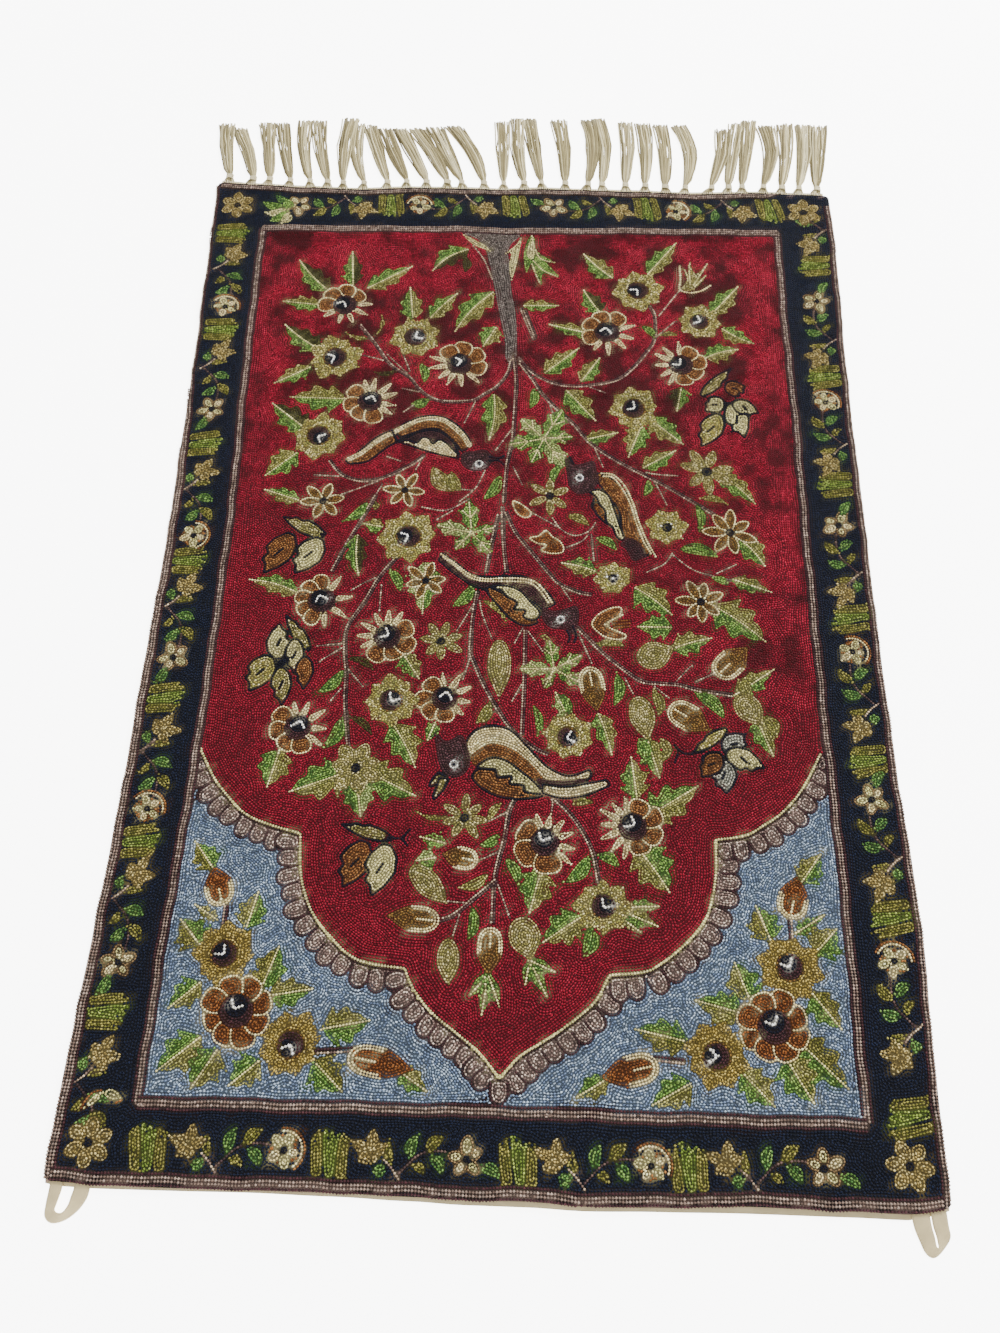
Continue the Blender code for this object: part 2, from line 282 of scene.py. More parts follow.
# %% The border, the field, the arch and its scallops
whole = [(left_edge(y), y) for y in np.linspace(-465, 465, 60)]
whole += [(right_edge(y), y) for y in np.linspace(465, -465, 60)]
fill(whole, "navy", ground=True)
far_line = far_edge(cell_x)[None, :] - 0.3
near_line = near_edge(cell_x)[None, :] + 0.3
shape_at[(cell_y[:, None] > far_line) | (cell_y[:, None] < near_line)] = 0
for corner_x, corner_y in ((-308, -458), (305, -459), (-307, 463), (306, 457)):
    round_x = np.maximum((cell_x - corner_x) * -np.sign(corner_x), 0)[None, :]
    round_y = np.maximum((cell_y - corner_y) * -np.sign(corner_y), 0)[:, None]
    corner = (round_x < 5) & (round_y < 5) & (np.hypot(5 - round_x, 5 - round_y) > 5)
    shape_at[corner] = 0

FRAME_LEFT = ((-406.5, -251.5), (-300, -251), (-215, -248), (-110, -246), (0, -246), (100, -247),
              (180, -250), (250, -252), (330, -254), (403.5, -255))
FRAME_RIGHT = ((406, 251), (300, 250), (200, 251.5), (100, 251), (0, 251), (-100, 251.5), (-200, 253.5),
               (-300, 254.5), (-406.5, 254))
FRAME_FAR = ((-255, 403.5), (-150, 404), (-60, 405), (0, 403.5), (90, 405.5), (251, 406))
FRAME_NEAR = ((254, -407.5), (120, -407), (0, -406), (-120, -406), (-251.5, -406.5))
frame_left = smooth([(x, y) for y, x in FRAME_LEFT], 4)
frame_right = smooth([(x, y) for y, x in FRAME_RIGHT], 4)
frame_far, frame_near = smooth(FRAME_FAR, 4), smooth(FRAME_NEAR, 4)
field = np.vstack([frame_left, frame_far, frame_right, frame_near])
red_field = fill(field, "red")
outside_field, border_shape = shape_at != red_field, shape_at.copy()

ARCH = (
    ((-246, -139), (-239, -151), (-229, -168), (-216, -183), (-203, -195), (-186, -203), (-157, -211)),
    ((-157, -211), (-155, -235), (-150, -255), (-141, -273), (-127, -289), (-113, -301), (-98, -307),
     (-71, -310)),
    ((-71, -310), (-66, -321), (-58, -332), (-47, -343), (-29, -356), (-14, -368), (0, -384)),
    ((0, -384), (14, -369), (28, -360), (42, -351), (58, -339), (69, -328), (78, -311)),
    ((78, -311), (104, -308), (117, -301), (130, -291), (142, -279), (151, -266), (156, -250), (159, -233),
     (160, -208)),
    ((160, -208), (183, -204), (197, -196), (210, -187), (223, -174), (234, -158), (246, -136)),
)
arch_parts = [smooth(part, 2) for part in ARCH]
arch = np.vstack(arch_parts)
fill(np.vstack([arch, [(256, -136), (256, -404), (-254, -404), (-254, -139)]]), "blue")

SCALLOP_STEP, SCALLOP_DEEP = 12.0, 18.5
for part in arch_parts:
    steps = np.hypot(*np.diff(part, axis=0).T)
    walked = np.concatenate([[0], np.cumsum(steps)])
    count = max(1, round(walked[-1] / SCALLOP_STEP))
    wide = walked[-1] / count
    for k in range(count):
        at = (k + 0.5) * wide
        x, y = (np.interp(at, walked, part[:, i]) for i in (0, 1))
        dx, dy = (np.interp(at + 1, walked, part[:, i]) - np.interp(at - 1, walked, part[:, i]) for i in (0, 1))
        deep = SCALLOP_DEEP * chance.uniform(0.9, 1.06)
        cup = [(0, -wide * 0.5), (deep * 0.6, -wide * 0.54), (deep * 0.9, -wide * 0.38), (deep, 0),
               (deep * 0.9, wide * 0.38), (deep * 0.6, wide * 0.54), (0, wide * 0.5)]
        turn = math.degrees(math.atan2(dy, dx)) - 90 + chance.uniform(-5, 5)
        cup = smooth(place(cup, x, y, turn), 2)
        fill(cup, "taupe mix")
        row(cup[2:], "plum", 1.4)
tip = smooth([(-6, -386), (-6, -396), (0, -402), (6, -396), (6, -386)], 2)
fill(tip, "taupe mix")
row(tip, "plum", 1.9)
shape_at[outside_field] = border_shape[outside_field]
row(arch + (0, -1.9), "dark brown", 2.0)
row(arch, "pale cream", 2.6)
shape_at[outside_field] = border_shape[outside_field]
print("shapes drawn so far:", len(yarn_of_shape))

# %% [markdown]
# ## One function for each motif
#
# The tree carries the same few motifs again and again: a toothed leaf in two greens, a flower
# that is half petals and half pointed sepals, a round gold flower, stars, buds, butterflies and
# birds. So each motif is a small function, and a table of places puts it on the cloth. The
# hand of the worker shows because no two places have the same size, turn or bend.


# %% Leaves, stems and flowers
def leaf(x0, y0, x1, y1, width, left="green", right="olive", bend=0.0, rib="pale cream", teeth=3):
    """A leaf from its base to its tip: two halves and a rib that runs out to the tip."""
    long, turn = aim(x0, y0, x1, y1)
    t = np.linspace(0, 0.93, 26)
    bow = bend * long * np.sin(np.pi * t)
    cut = 0.60 + 0.74 * ((t * teeth / 0.93) % 1) if teeth else 1.0
    half = width / 2 * np.sin(np.pi * np.clip(t / 0.93, 0, 1) ** 0.85) ** 0.8 * cut
    spine = np.stack([t * long, bow], 1)
    for side, yarn in ((1, left), (-1, right)):
        edge = np.stack([t * long, bow + side * np.maximum(half, 0.8)], 1)
        fill(place(np.vstack([spine, edge[::-1]]), x0, y0, turn), yarn)
    if rib:
        rib_t = np.linspace(0.02, 1.0, max(4, int(long / 3)))
        line = np.stack([rib_t * long, bend * long * np.sin(np.pi * rib_t)], 1)
        row(place(line, x0, y0, turn), rib, 2.1)


def small_leaf(x0, y0, x1, y1, width, yarn="green", bend=0.12):
    leaf(x0, y0, x1, y1, width, yarn, yarn, bend, rib=None, teeth=0)


def stem(*points, wide=False):
    """A stem: a light row, with a dark one beside it where it is thick."""
    path = smooth(points, 2.5)
    if wide:
        row(path + sideways(path), "bark", 2.0)
        row(path - sideways(path), "bark light", 2.0)
    else:
        row(path, "bark light", 1.9)


def tick(x, y, turn, size=0.85):
    """The white hooked mark that lights a flower's centre."""
    row(place([(-7, 2.6), (-1, -3.0), (0, -3.1), (5, 3.6)], x, y, turn, size), "white", 2.5)


def flower_centre(x, y, radius, turn, mark):
    """A plum disc with a navy part towards the mark, and the white tick on it."""
    disc(x, y, radius, "plum")
    shift = place([(radius * 0.3, 0)], 0, 0, turn)[0]
    fill(place(round_outline(radius * 0.68), x, y) + shift, "ink")
    tick(x + shift[0], y + shift[1], mark)


def half_flower(x, y, turn, size=25.0, petals=5, spikes=5, mark=0, tone="brown", spread=185):
    """Rounded petals with a cream edge on one side, and pointed cream sepals on the other."""
    for k in range(spikes):
        angle = turn + 180 + (360 - spread) * ((k + 0.5) / spikes - 0.5) + chance.uniform(-4, 4)
        reach = size * chance.uniform(0.95, 1.12)
        spike = [(8, -2.6), (reach * 0.6, -3.0), (reach, -1.3), (reach * 1.03, 0), (reach, 1.3),
                 (reach * 0.6, 3.0), (8, 2.6)]
        fill(place(spike, x, y, angle), "cream")
    for k in range(petals):
        angle = turn + spread * ((k + 0.5) / petals - 0.5) + chance.uniform(-3, 3)
        wide = math.radians(spread / petals) * size * 0.41
        reach = size * chance.uniform(0.9, 1.04)
        petal = [(7, -wide * 0.45), (reach * 0.66, -wide), (reach * 0.92, -wide * 0.72), (reach * 0.98, 0),
                 (reach * 0.94, wide * 0.72), (reach * 0.66, wide), (7, wide * 0.45)]
        petal = smooth(place(petal, x, y, angle), 1.8, closed=True)
        fill(petal, tone)
        row(petal, "cream", 2.0, closed=True)
    flower_centre(x, y, size * 0.45, chance.uniform(60, 150), mark)


def gold_flower(x, y, size=22.0, mark=0, lobes=8, tone="gold", centre=0.42, side=90):
    """A round flower of soft gold lobes about a plum and navy centre."""
    angle = np.radians(np.arange(0, 360, 360 / lobes / 4) + chance.uniform(0, 360))
    reach = size * np.tile([0.84, 0.97, 1.02, 0.97], lobes)
    reach = reach * np.repeat(chance.uniform(0.90, 1.10, lobes), 4)
    ragged = np.stack([reach * np.cos(angle), reach * np.sin(angle)], 1) + (x, y)
    fill(smooth(ragged, 2, closed=True), tone)
    for spoke in ragged[::2]:
        row([(x + (spoke[0] - x) * share, y + (spoke[1] - y) * share) for share in (0.8, 1.04)], tone, 2.0)
    fill(place(round_outline(size * (centre + 0.07), 9, 0.12), x, y), "brown olive")
    flower_centre(x, y, size * centre, side, mark)


def star(x, y, size=19.0, points=7, turn=0.0, kind="olive", fat=0.2):
    """A star of narrow petals. The cream kind has a cream edge about each petal."""
    for k in range(points):
        angle = turn + 360 / points * k + chance.uniform(-7, 7)
        reach = size * chance.uniform(0.88, 1.12)
        half = size * fat
        petal = [(1, -1.2), (reach * 0.55, -half), (reach * 0.85, -half * 0.6), (reach, 0),
                 (reach * 0.85, half * 0.6), (reach * 0.55, half), (1, 1.2)]
        petal = smooth(place(petal, x, y, angle), 1.8, closed=True)
        fill(petal, "straw" if kind == "olive" else "brown olive")
        if kind == "cream":
            row(petal, "cream", 1.9, closed=True)
    disc(x, y, size * 0.19, "ink")


def rosette(x, y, size=27.0, lobes=6, turn=0.0):
    """A leafy rosette: pale green lobes with cream veins from its middle."""
    for k in range(lobes):
        angle = turn + 360 / lobes * k + chance.uniform(-8, 8)
        reach = size * chance.uniform(0.75, 1.2)
        half = reach * 0.27
        side = [(reach * 0.4, half * 0.9), (reach * 0.5, half * 0.7), (reach * 0.7, half * 1.1),
                (reach * 0.78, half * 0.6), (reach, 1.2)]
        lobe = [(0, 0), *((along, -out) for along, out in side), *side[::-1]]
        fill(place(lobe, x, y, angle), "pale green" if k % 3 == 2 else "green")
        row(place([(2, 0), (reach - 1, 0)], x, y, angle), "pale cream", 2.0)
        for way in (-1, 1):
            row(place([(reach * 0.45, 0), (reach * 0.72, way * half * 0.75)], x, y, angle), "pale cream", 1.8)
    disc(x, y, 3, "pale cream")


# %% [markdown]
# Buds, birds and butterflies are built from the same few tools. A bud is a drop whose cream cap
# has two rows, with a finger up its middle. A bird is a set of bands along its arched back: cream, brown and plum, each
# with a navy row between, then a head with a ringed eye. A butterfly is four or five lens-shaped
# wings, each with its own yarn and a navy edge.


# %% Buds, birds and butterflies
def drop(x0, y0, x1, y1, width, yarn):
    """A drop from its round end to its pointed end."""
    blunt = 0.45  # the share of its length that is the round end
    long, turn = aim(x0, y0, x1, y1)
    t = np.linspace(0, 1, 24)
    half = width / 2 * np.sqrt(np.clip(1 - ((t - blunt) / blunt) ** 2, 0, 1)) * (t < blunt)
    half = half + width / 2 * np.cos(np.clip((t - blunt) / (1 - blunt), 0, 1) * np.pi / 2) ** 1.2 * (t >= blunt)
    outline = np.vstack([np.stack([t * long, half], 1), np.stack([t * long, -half], 1)[::-1]])
    fill(place(outline, x0, y0, turn), yarn)
    return turn, long


def bud(x0, y0, x1, y1, width, tone="rust", cap="cream"):
    """A bud: a drop, a cap of two rows about its round end, and one finger up its middle."""
    turn, long = drop(x0, y0, x1, y1, width, tone)
    rim = [(0.55, 0.45), (0.38, 0.46), (0.18, 0.42), (0.04, 0.24)]
    cup = np.array([*((along, -out) for along, out in rim), (0, 0), *rim[::-1]])
    for inner in (1.0, 0.8):
        finger = cup * (long * inner, width * inner) + (long * (1 - inner) * 0.3, 0)
        row(place(smooth(finger, 2), x0, y0, turn), cap, 2.1)
    row(place([(long * 0.1, 0), (long * 0.42, 0)], x0, y0, turn), cap, 2.4)


def banded(path, widths, yarn, edge="ink", width=2.0):
    """A band along a curve with a row of the edge yarn round it."""
    outline = band_outline(path, widths)
    fill(outline, yarn)
    if edge:
        row(outline[::2], edge, width, closed=True)


def patch(points, yarn, edge="ink", width=2.0):
    """A soft closed patch with a row of the edge yarn round it."""
    outline = smooth(points, 2, closed=True)
    fill(outline, yarn)
    if edge:
        row(outline, edge, width, closed=True)


def ring_eye(x, y):
    """A white ring with a navy middle, on a round of the head's yarn."""
    for radius, yarn in ((5.4, "head"), (4.2, "white"), (2.2, "ink")):
        disc(x, y, radius, yarn)
    row(place(round_outline(3.2, count=9), x, y), "white", 1.8, closed=True)


def wing(x0, y0, x1, y1, width, yarn, slit=True):
    """A butterfly's wing: a drop with a notched side, a navy edge and a navy slit."""
    long, turn = aim(x0, y0, x1, y1)
    shape = [(0, 0.14), (0.2, 0.42), (0.5, 0.5), (0.8, 0.3), (1.04, 0), (0.84, -0.14), (0.78, -0.36),
             (0.6, -0.28),
             (0.5, -0.5), (0.24, -0.42), (0, -0.14)]
    shape = place(np.array(shape) * (long, width), x0, y0, turn)
    fill(shape, yarn)
    row(shape, "ink", 1.9, closed=True)
    if slit:
        row(place([(long * 0.36, 1.5), (long * 0.6, -1.5)], x0, y0, turn), "ink", 2.2)


# %% [markdown]
# ## The tree
#
# The trunk grows from the far guard. Its boughs part again and again, and each twig ends in a
# flower, so the twigs are drawn first and the flowers cover their ends. The thick stems are two
# rows, a dark and a light one, which is what gives them their twisted look.

# %% The trunk and the stems
trunk = [(-57, 400), (-42, 392), (-34, 378), (-29, 358), (-25, 335), (-21, 312), (-16, 285), (-12, 262),
         (-11, 245), (-2, 245), (-1, 262), (-2, 285), (-4, 305), (-7, 322), (-9, 340), (-10, 358),
         (-12, 372), (-10, 385), (2, 400)]
fill(smooth(trunk, 3), "bark mix")
stem((2, 306), (8, 288), (15, 269), wide=True)
stem((5, 304), (11, 287), (16, 272), wide=True)
STEMS_THICK = (
    ((-6, 244), (-9, 230), (-18, 215), (-28, 207), (-39, 199), (-52, 197), (-67, 197), (-79, 201),
     (-90, 211), (-100, 224), (-118, 238), (-134, 262), (-150, 284)),
    ((-4, 250), (-1, 222), (-2, 173), (-3, 154), (-7, 130), (-9, 90)),
    ((1, 247), (10, 235), (24, 224), (42, 217), (64, 217), (90, 224), (105, 237), (118, 255), (127, 272),
     (128, 300), (122, 314)),
    ((2, 242), (15, 222), (21, 210), (30, 198), (52, 174), (60, 162), (71, 150), (94, 133), (126, 114),
     (150, 98), (176, 80)),
    ((-7, 81), (2, 60), (18, 38), (33, 18), (41, 10), (56, 3), (67, 1)), ((-10, 86), (-8, 49), (-5, 21)),
    ((-13, 78), (-18, 50), (-22, 20)), ((-121, 95), (-132, 69), (-141, 49), (-153, 18)),
    ((-165, 131), (-155, 118), (-147, 113), (-133, 110), (-115, 114), (-92, 128), (-81, 138)),
    ((-99, 33), (-112, 14), (-123, -10), (-135, -33), (-136, -52), (-133, -75), (-132, -98), (-129, -121),
     (-126, -140)),
    ((-29, 2), (-32, -25), (-33, -60)),
    ((-33, -55), (-21, -83), (-5, -111), (7, -126), (21, -137), (32, -142)),
    ((12, -33), (12, -75), (11, -126)),
    ((54, -29), (64, -40), (76, -53), (90, -65), (106, -77), (121, -79), (137, -80), (152, -84),
     (180, -88)),
    ((36, -177), (50, -191), (60, -206), (67, -222), (71, -244)),
    ((6, -180), (2, -191), (-1, -212), (-7, -240), (-8, -276)),
    ((-6, -243), (-24, -259), (-38, -271), (-50, -275)),
)
STEMS_THIN = (
    ((-122, 250), (-110, 237), (-100, 226)), ((-144, 248), (-124, 242), (-107, 231)),
    ((-107, 250), (-99, 230)), ((-36, 202), (-47, 173)), ((-2, 171), (-18, 144)), ((-2, 128), (7, 108)),
    ((64, 216), (81, 208)), ((30, 197), (33, 182), (30, 168)), ((70, 150), (78, 128)),
    ((112, 245), (126, 270)), ((132, 300), (141, 314), (153, 332)), ((128, 274), (147, 294)),
    ((-178, 115), (-155, 114)), ((-152, 95), (-132, 104), (-118, 111)), ((-124, 90), (-116, 107)),
    ((-88, 122), (-81, 138)), ((-115, 136), (-101, 131)), ((-106, 211), (-89, 207)),
    ((-103, 184), (-92, 194)), ((-24, 130), (-31, 111), (-36, 102), (-48, 90)), ((-51, 103), (-36, 102)),
    ((-81, 84), (-59, 81), (-39, 93)), ((-67, 71), (-53, 81)), ((-39, 92), (-37, 80)), ((16, 80), (39, 66)),
    ((33, 76), (41, 64), (53, 58), (65, 63), (71, 72)), ((45, 46), (58, 52), (65, 60)),
    ((67, 60), (69, 33)), ((42, 7), (50, -6)), ((136, 41), (152, 27), (167, 21), (186, 16)),
    ((113, 23), (129, 32), (136, 43)), ((172, 23), (190, 33)), ((115, 124), (126, 122), (144, 121)),
    ((123, 114), (127, 105), (133, 90)), ((-113, 14), (-123, 9), (-136, 0)), ((-110, 7), (-110, -19)),
    ((-160, -52), (-136, -49)), ((-155, -65), (-138, -53)), ((-132, -72), (-118, -88)),
    ((-136, -89), (-144, -101)), ((-38, -80), (-33, -60)), ((-28, -3), (-45, -36)),
    ((-27, -6), (-24, -20), (-15, -43)), ((10, -31), (3, -46)), ((14, -34), (27, -53)),
    ((2, -98), (11, -80)), ((56, -36), (67, -63)), ((133, -79), (147, -63)), ((150, -77), (166, -69)),
    ((93, -74), (100, -89)), ((113, -78), (129, -92)), ((36, -178), (35, -189)), ((-14, -198), (1, -190)),
    ((-5, -246), (5, -272)), ((-21, -229), (-4, -221)), ((-45, -260), (-27, -261)),
    ((-32, -267), (-37, -286)), ((-47, 385), (-36, 368), (-30, 352), (-27, 343)),
)
for points in STEMS_THIN:
    stem(*points)
for points in STEMS_THICK:
    stem(*points, wide=True)
print("stems:", len(STEMS_THICK) + len(STEMS_THIN))

# %% Leaves of the tree
LEAVES = (
    # base x, y, tip x, y, width, then left half, right half and bend where they aren't
    # green, olive and 0
    (-181, 323, -215, 363, 21, "green", "dark olive", 0.04),
    (-160, 331, -164, 375, 18, "green", "dark olive"), (-147, 328, -104, 357, 20),
    (-188, 307, -226, 311, 17), (-184, 253, -221, 283, 22, "green", "dark olive", 0.03),
    (-100, 290, -105, 331, 20), (-84, 293, -59, 324, 19, "green", "olive", 0.03),
    (-191, 234, -224, 214, 17), (-24, 327, -60, 277, 24, "olive", "green", -0.06),
    (-50, 380, -85, 351, 22, "dark olive", "green", -0.1), (-21, 284, -33, 260, 22, "olive", "green"),
    (3, 309, 38, 311, 14, "olive", "green"), (70, 277, 28, 288, 15),
    (90, 345, 61, 376, 20, "green", "olive", 0.03), (78, 302, 61, 331, 20, "green", "dark olive", 0.03),
    (122, 350, 152, 392, 19), (181, 302, 209, 338, 20), (190, 287, 220, 269, 17, "green", "olive", -0.05),
    (173, 251, 205, 262, 20, "green", "olive", 0.06), (-155, 198, -208, 199, 26),
    (-187, 162, -223, 192, 24, "green", "dark olive"), (-194, 139, -221, 113, 24),
    (-21, 207, -24, 155, 22, "olive", "green", 0.05), (24, 230, 57, 261, 20, "olive", "green"),
    (58, 221, 76, 250, 17, "olive", "green"), (44, 212, 72, 178, 22, "olive", "green"),
    (63, 158, 92, 166, 15, "olive", "green"), (119, 183, 150, 154, 22), (113, 175, 100, 139, 21),
    (150, 217, 145, 190, 18, "green", "dark olive"), (112, 128, 143, 148, 17, "olive", "green"),
    (178, 124, 210, 93, 18, "olive", "green", 0.05), (-187, 88, -220, 99, 15, "olive", "green"),
    (-178, -4, -223, 9, 17, "olive", "green", -0.06), (-112, 63, -130, 66, 15),
    (-134, 56, -130, 14, 18, "dark olive", "green", -0.04), (-88, -57, -73, -80, 18, "olive", "green"),
    (-180, -142, -187, -175, 25, "olive", "green"), (-93, -118, -72, -156, 25, "olive", "green", 0.03),
    (-58, -116, -64, -133, 11, "green", "green"), (71, 23, 41, 31, 17, "olive", "green", -0.04),
    (102, 9, 134, -17, 26, "olive", "green", 0.04), (192, 60, 214, 31, 22, "olive", "green", 0.05),
    (184, 18, 218, 6, 14, "olive", "green"), (167, -6, 210, -40, 30, "olive", "green", 0.03),
    (134, -28, 104, -28, 21, "green", "green"), (132, -48, 166, -37, 20, "olive", "green", 0.03),
    (-74, 30, -74, -21, 26, "green", "pale green"), (48, -112, 37, -88, 12, "pale green", "green"),
    (71, -105, 82, -142, 17, "olive", "green", 0.03), (181, -88, 215, -64, 17, "olive", "green"),
    (197, -106, 209, -140, 19, "olive", "green"), (110, -126, 119, -160, 20, "olive", "green"),
    (101, -177, 97, -142, 21), (107, -192, 149, -165, 26),
    (100, -215, 124, -250, 30, "green", "olive", 0.02), (28, -233, 19, -268, 25, "olive", "green"),
    (58, -269, 29, -289, 25, "olive", "green"), (-52, -227, -68, -230, 16, "green", "pale green"),
    (-45, -216, -66, -211, 12, "green", "green"), (92, -261, 116, -260, 12, "green", "pale green"),
    (90, -265, 115, -275, 12, "olive", "green"), (86, -268, 102, -280, 9),
)
for place_and_look in LEAVES:
    leaf(*place_and_look)
SMALL_LEAVES = (
    # base x, y, tip x, y, width, and the yarn where it isn't green
    (-90, 240, -86, 215, 9), (-110, 230, -136, 230, 6, "dark olive"), (-80, 198, -98, 194, 11),
    (15, 213, 11, 188, 9), (-13, 118, -29, 91, 11), (118, 116, 112, 98, 8), (116, 288, 128, 271, 8),
    (132, 277, 151, 277, 6, "olive"), (-130, 297, -134, 271, 5, "olive"),
    (-140, 268, -164, 275, 6, "olive"), (-54, 370, -54, 348, 9, "dark olive"), (-128, 88, -150, 67, 9),
    (-104, 21, -94, -2, 9), (-120, 88, -123, 79, 7, "olive"), (-136, -74, -157, -94, 10),
    (-133, -114, -148, -144, 11), (-127, -113, -107, -132, 7, "dark olive"),
    (-131, -62, -109, -75, 7, "dark olive"), (-33, 7, -51, -14, 11), (-25, -6, -3, -29, 6, "olive"),
    (47, 78, 66, 67, 9, "olive"), (71, 57, 89, 43, 9), (33, 110, 43, 133, 8),
    (161, 98, 187, 92, 7, "olive"), (159, 92, 158, 61, 8), (142, 47, 177, 38, 12), (168, 19, 183, 10, 8),
    (24, -38, 34, -46, 6, "olive"), (-15, -99, -28, -119, 10, "olive"), (20, -100, 22, -130, 7),
    (87, -70, 83, -102, 9), (116, -84, 120, -110, 9, "olive"), (150, -86, 173, -111, 12),
    (43, -90, 46, -112, 8), (193, -88, 190, -70, 11, "olive"), (70, -45, 96, -47, 7, "olive"),
    (-14, -197, -1, -182, 7, "olive"), (-4, -208, -22, -217, 8), (50, -183, 69, -181, 7, "olive"),
    (-12, -239, -37, -250, 9, "olive"), (1, -226, 11, -251, 9), (-23, -264, -27, -291, 9),
    (64, -223, 43, -245, 11), (70, -221, 88, -233, 9), (66, -276, 57, -301, 12),
    (-44, -195, -73, -189, 5, "olive"), (104, -126, 107, -150, 11), (120, -126, 127, -144, 9, "olive"),
    (204, -105, 213, -124, 11, "olive"),
)
for place_and_look in SMALL_LEAVES:
    small_leaf(*place_and_look)

# The two cream leaves at the trunk's foot, and the tuft beside it.
patch([(-58, 399), (-44, 391), (-34, 384), (-28, 376), (-38, 381), (-47, 386)], "pale cream", None)
patch([(1, 397), (-5, 385), (-15, 374), (-9, 375), (-11, 358), (-8, 339), (-4, 358), (-1, 378)], "pale cream",
      None)
patch([(8, 396), (3, 375), (6, 349), (11, 362), (21, 334), (22, 350), (38, 346), (24, 365), (34, 364),
       (16, 378), (13, 396)], "green", None)
patch([(9, 395), (6, 372), (12, 366), (14, 378), (12, 395)], "pale cream", None)
for vein in ([(14, 380), (20, 368), (34, 364)], [(12, 366), (22, 354), (37, 346)],
             [(11, 362), (16, 346), (20, 336)]):
    row(smooth(vein, 2), "pale cream", 2.0)

# %% Flowers, stars and rosettes of the tree
HALF_FLOWERS = (
    # x, y, petals point to, size, petals, sepals, tick
    (-166, 308, 112, 25, 4, 5, 150), (-54, 240, 55, 26, 4, 6, 95), (-134, 196, 215, 25, 4, 6, 160),
    (83, 280, 130, 26, 4, 5, 170), (151, 243, -10, 25, 4, 6, 35), (-159, -10, 170, 25, 5, 4, 200),
    (-102, -42, -45, 25, 4, 6, 60), (-52, -96, 205, 23, 4, 5, 170), (-168, -124, 215, 24, 4, 5, 160),
    (30, -213, 215, 24, 3, 6, 330), (97, -199, 0, 25, 4, 7, 60),
)
for x, y, turn, size, petals, sepals, mark in HALF_FLOWERS:
    half_flower(x, y, turn, size, petals, sepals, mark)
GOLD_FLOWERS = (
    # x, y, size, tick
    (-97, 271, 23, 300), (-170, 245, 24, 110), (-177, 157, 23, 240), (113, 331, 23, 130),
    (170, 294, 20, 60), (106, 192, 22, 50), (-90, 54, 24, 110), (-95, -99, 21, 330), (47, -127, 19, 280),
    (74, -261, 20, 320),
)
for x, y, size, mark in GOLD_FLOWERS:
    gold_flower(x, y, size, mark, side=mark + 60)
for x, y, size in ((85, 17, 15), (132, 68, 17)):
    gold_flower(x, y, size, lobes=7, centre=0.01)
    disc(x, y, 4.6, "ink")
row([(83.6, 17), (86, 17)], "white", 2.4)
STARS = (
    # x, y, size, points, turn, kind
    (-96, 101, 18, 6, 55, "cream"), (-167, 88, 20, 6, 10, "cream"), (186, 64, 22, 7, 30, "cream"),
    (158, -4, 20, 7, 20, "cream"), (-73, 11, 18, 6, 15, "cream"), (31, 98, 20, 6, 25, "olive"),
    (169, 126, 25, 7, 15, "olive"), (-57, -45, 20, 7, 20, "olive"), (-32, -195, 19, 7, 40, "olive"),
)
for place_and_look in STARS:
    star(*place_and_look)
rosette(25, 158, 31, 6, 10)
rosette(-36, 59, 27, 5, 20)
rosette(36, -68, 25, 5, 35)
# The broad star leaf left of the lowest bird.
leaf(-124, -160, -170, -178, 28, "olive", "green", 0)
leaf(-113, -158, -70, -179, 28, "olive", "green", 0)
leaf(-117, -167, -112, -197, 23, "pale green", "green", 0)
star(-119, -157, 22, 7, 20, "olive", fat=0.3)
# The spread leaf between the first bird and its stem.
small_leaf(-52, 101, -74, 129, 17, "straw")
small_leaf(-48, 101, -56, 124, 12, "olive")

# %% Buds
BUDS = (
    # cap x, y, tip x, y, width, yarn
    (64, -66, 71, -106, 21, "brown olive"), (129, -99, 161, -119, 24, "brown olive"),
    (168, -71, 195, -44, 24, "brown olive"), (-48, -275, -88, -272, 20, "brown olive"),
    (-9, -279, -10, -315, 19, "brown olive"), (-21, -229, -49, -224, 18, "brown olive"),
    (-210, -267, -220, -237, 22, "rust"), (211, -266, 220, -234, 22, "rust"),
    (-107, -372, -61, -380, 21, "rust"), (111, -372, 70, -382, 21, "rust"),
)
for place_and_look in BUDS:
    bud(*place_and_look)
STRAW_BUDS = ((-9, -42, -8, -97, 20), (103, -90, 111, -130, 21), (104, -60, 135, -46, 25),
              (-71, -234, -41, -263, 19), (-40, -287, -39, -323, 17), (12, -270, 21, -303, 24),
              (183, -87, 203, -115, 22))
for x0, y0, x1, y1, width in STRAW_BUDS:
    drop(x0, y0, x1, y1, width, "straw")
for base, tips in (((-10, -313), ((-23, -328), (-14, -342), (-1, -336))),
                   ((20, -302), ((17, -320), (33, -328), (39, -310)))):
    for tip_x, tip_y in tips:
        leaf(*base, tip_x, tip_y, 9, "green", "green", 0, "pale cream", 0)
patch([(154, 333), (160, 345), (156, 362), (163, 352), (164, 367), (169, 352), (182, 367), (173, 348),
       (180, 351), (170, 337), (162, 331)], "straw", None)
strand([(154, 363), (154, 345), (153, 333), (163, 329), (174, 332), (183, 339)], "cream", 2.2)
for ax, ay, bx, by in ((163, 338, 163, 364), (166, 338, 181, 366), (167, 336, 179, 351)):
    row([(ax, ay), (bx, by)], "pale cream", 2.2)
patch([(67, -26), (73, -17), (84, -11), (92, -11), (88, -20), (78, -27), (95, -36), (91, -40), (80, -39),
       (71, -33)], "brown", "cream")
strand([(93, -17), (79, -27), (95, -36)], "cream", 2.2)
for k in range(3):
    row([(84, -24 - 3 * k), (99, -22 - 3 * k)], "rust", 2.2)
